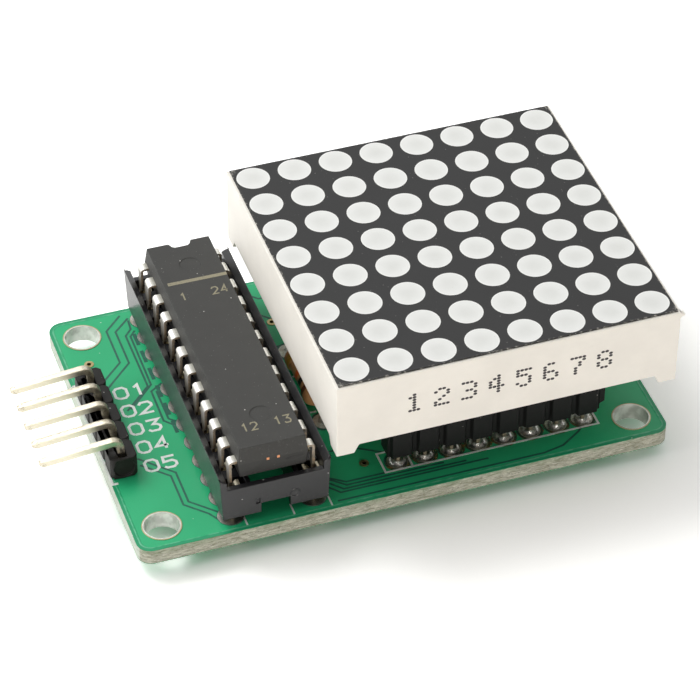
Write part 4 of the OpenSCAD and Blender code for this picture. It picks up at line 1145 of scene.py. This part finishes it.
class MODULE_OT_stage(bpy.types.Operator):
    """Set the pale floor, the soft lamps, the white surroundings and the camera"""
    bl_idname = "module.stage"
    bl_label = "Stage"

    def execute(self, context):
        s = context.scene.module_stage
        scene = context.scene
        scene.view_settings.view_transform = "Standard"
        floor_z = CAD_BOUNDS[0][2] / MM - 0.01
        points, faces = patch([(-900, -900), (900, -900), (900, 900), (-900, 900)], floor_z - 5, floor_z)
        mesh = bpy.data.meshes.new("floor")
        mesh.from_pydata((points * MM).tolist(), [], faces)
        floor = bpy.data.objects.new("floor", mesh)
        scene.collection.objects.link(floor)
        f = Finish("floor_paper")
        seen = self.looked_at(f)
        tone = f.blend(seen, (0.9, 0.89, 0.88), (s.lift, s.lift, s.lift * 0.985))
        paper = f.node("BsdfDiffuse", inputs={
            "Color": f.shade(tone, f.noise(0.02) * 0.02 + 0.99)}, output="BSDF")
        f.node("OutputMaterial", inputs={"Surface": paper}, output=())
        mesh.materials.append(f.material)

        world = bpy.data.worlds.new("surroundings")
        world.use_nodes = True
        scene.world = world
        w = Finish("surroundings", world.node_tree)
        seen = self.looked_at(w)
        way = w.node("TexCoord", output="Generated")
        y, z = w.node("SeparateXYZ", inputs={0: way}, output=("Y", "Z"))
        low_front = (y * -1.0 - z * 0.8).step(-0.4, 0.25)
        tone = w.blend(low_front, (1.0, 1.0, 1.0), (0.1, 0.092, 0.085))
        strength = w.blend_value(seen, s.sky, 1.0)
        sky = w.node("Background", inputs={"Color": tone, "Strength": strength})
        white = w.node("Background", inputs={"Color": (1, 1, 1), "Strength": 1.0})
        camera_ray = w.node("LightPath", output="Is Camera Ray")
        both = w.node("MixShader", inputs={0: camera_ray, 1: sky, 2: white})
        w.node("OutputWorld", inputs={"Surface": both}, output=())

        lamp("key_lamp", (-0.4, 0.7, 1.0), 0.3, s.key, distance=0.6)
        lamp("left_lamp", (-1.0, 0.25, 0.5), 0.7, 0.42)
        lamp("front_lamp", (-0.15, -1.0, 0.13), 0.2, 0.42, (1.0, 0.95, 0.9))

        data = bpy.data.cameras.new("camera")
        data.lens = 166.35
        data.sensor_width = 36
        data.clip_start = 0.01
        data.clip_end = 10
        camera = bpy.data.objects.new("camera", data)
        right = Vector((0.94646538, -0.32278188, 0.00389099))
        up = Vector((0.20990339, 0.62454958, 0.75224889))
        axes = Matrix((right, up, right.cross(up))).transposed().to_4x4()
        camera.matrix_world = Matrix.Translation(Vector((-72.963, -210.706, 200.192)) * MM) @ axes
        scene.collection.objects.link(camera)
        scene.camera = camera
        return {"FINISHED"}

    def looked_at(self, finish):
        """1 on rays from the camera, a gloss or a clear surface, and 0 on others."""
        seen, gloss, clear = finish.node("LightPath", output=(
            "Is Camera Ray", "Is Glossy Ray", "Is Transmission Ray"))
        return seen.most(gloss).most(clear)


class MODULE_PT_sidebar(bpy.types.Panel):
    """Lists the module's pieces and their settings"""
    bl_idname = "MODULE_PT_sidebar"
    bl_label = "LED Dot-Matrix Module"
    bl_space_type = "VIEW_3D"
    bl_region_type = "UI"
    bl_category = "Module"

    def draw(self, context):
        column = self.layout.column()
        for operator in OPERATORS:
            column.operator(operator.bl_idname)
        for name in GROUPS:
            group = getattr(context.scene, name)
            column.separator()
            for key in group.bl_rna.properties.keys():
                if key not in ("rna_type", "name"):
                    column.prop(group, key)


GROUPS = {
    "module_board": BoardSettings, "module_chip": ChipSettings,
    "module_display": DisplaySettings, "module_stage": StageSettings,
}
OPERATORS = (
    MODULE_OT_board, MODULE_OT_solder, MODULE_OT_pin_header, MODULE_OT_chip_socket,
    MODULE_OT_driver_chip, MODULE_OT_display_headers, MODULE_OT_display_block,
    MODULE_OT_loose_components, MODULE_OT_stage,
)
PAD_PLACES = lead_places()


def register():
    for group in GROUPS.values():
        bpy.utils.register_class(group)
    for name, group in GROUPS.items():
        setattr(bpy.types.Scene, name, PointerProperty(type=group))
    for operator in OPERATORS:
        bpy.utils.register_class(operator)
    bpy.utils.register_class(MODULE_PT_sidebar)


def unregister():
    bpy.utils.unregister_class(MODULE_PT_sidebar)
    for operator in reversed(OPERATORS):
        bpy.utils.unregister_class(operator)
    for name, group in GROUPS.items():
        delattr(bpy.types.Scene, name)
        bpy.utils.unregister_class(group)


def main():
    register()
    for name in ("board", "solder", "pin_header", "chip_socket", "driver_chip",
                 "display_headers", "display_block", "loose_components", "stage"):
        getattr(bpy.ops.module, name)()


if __name__ == "__main__":
    main()
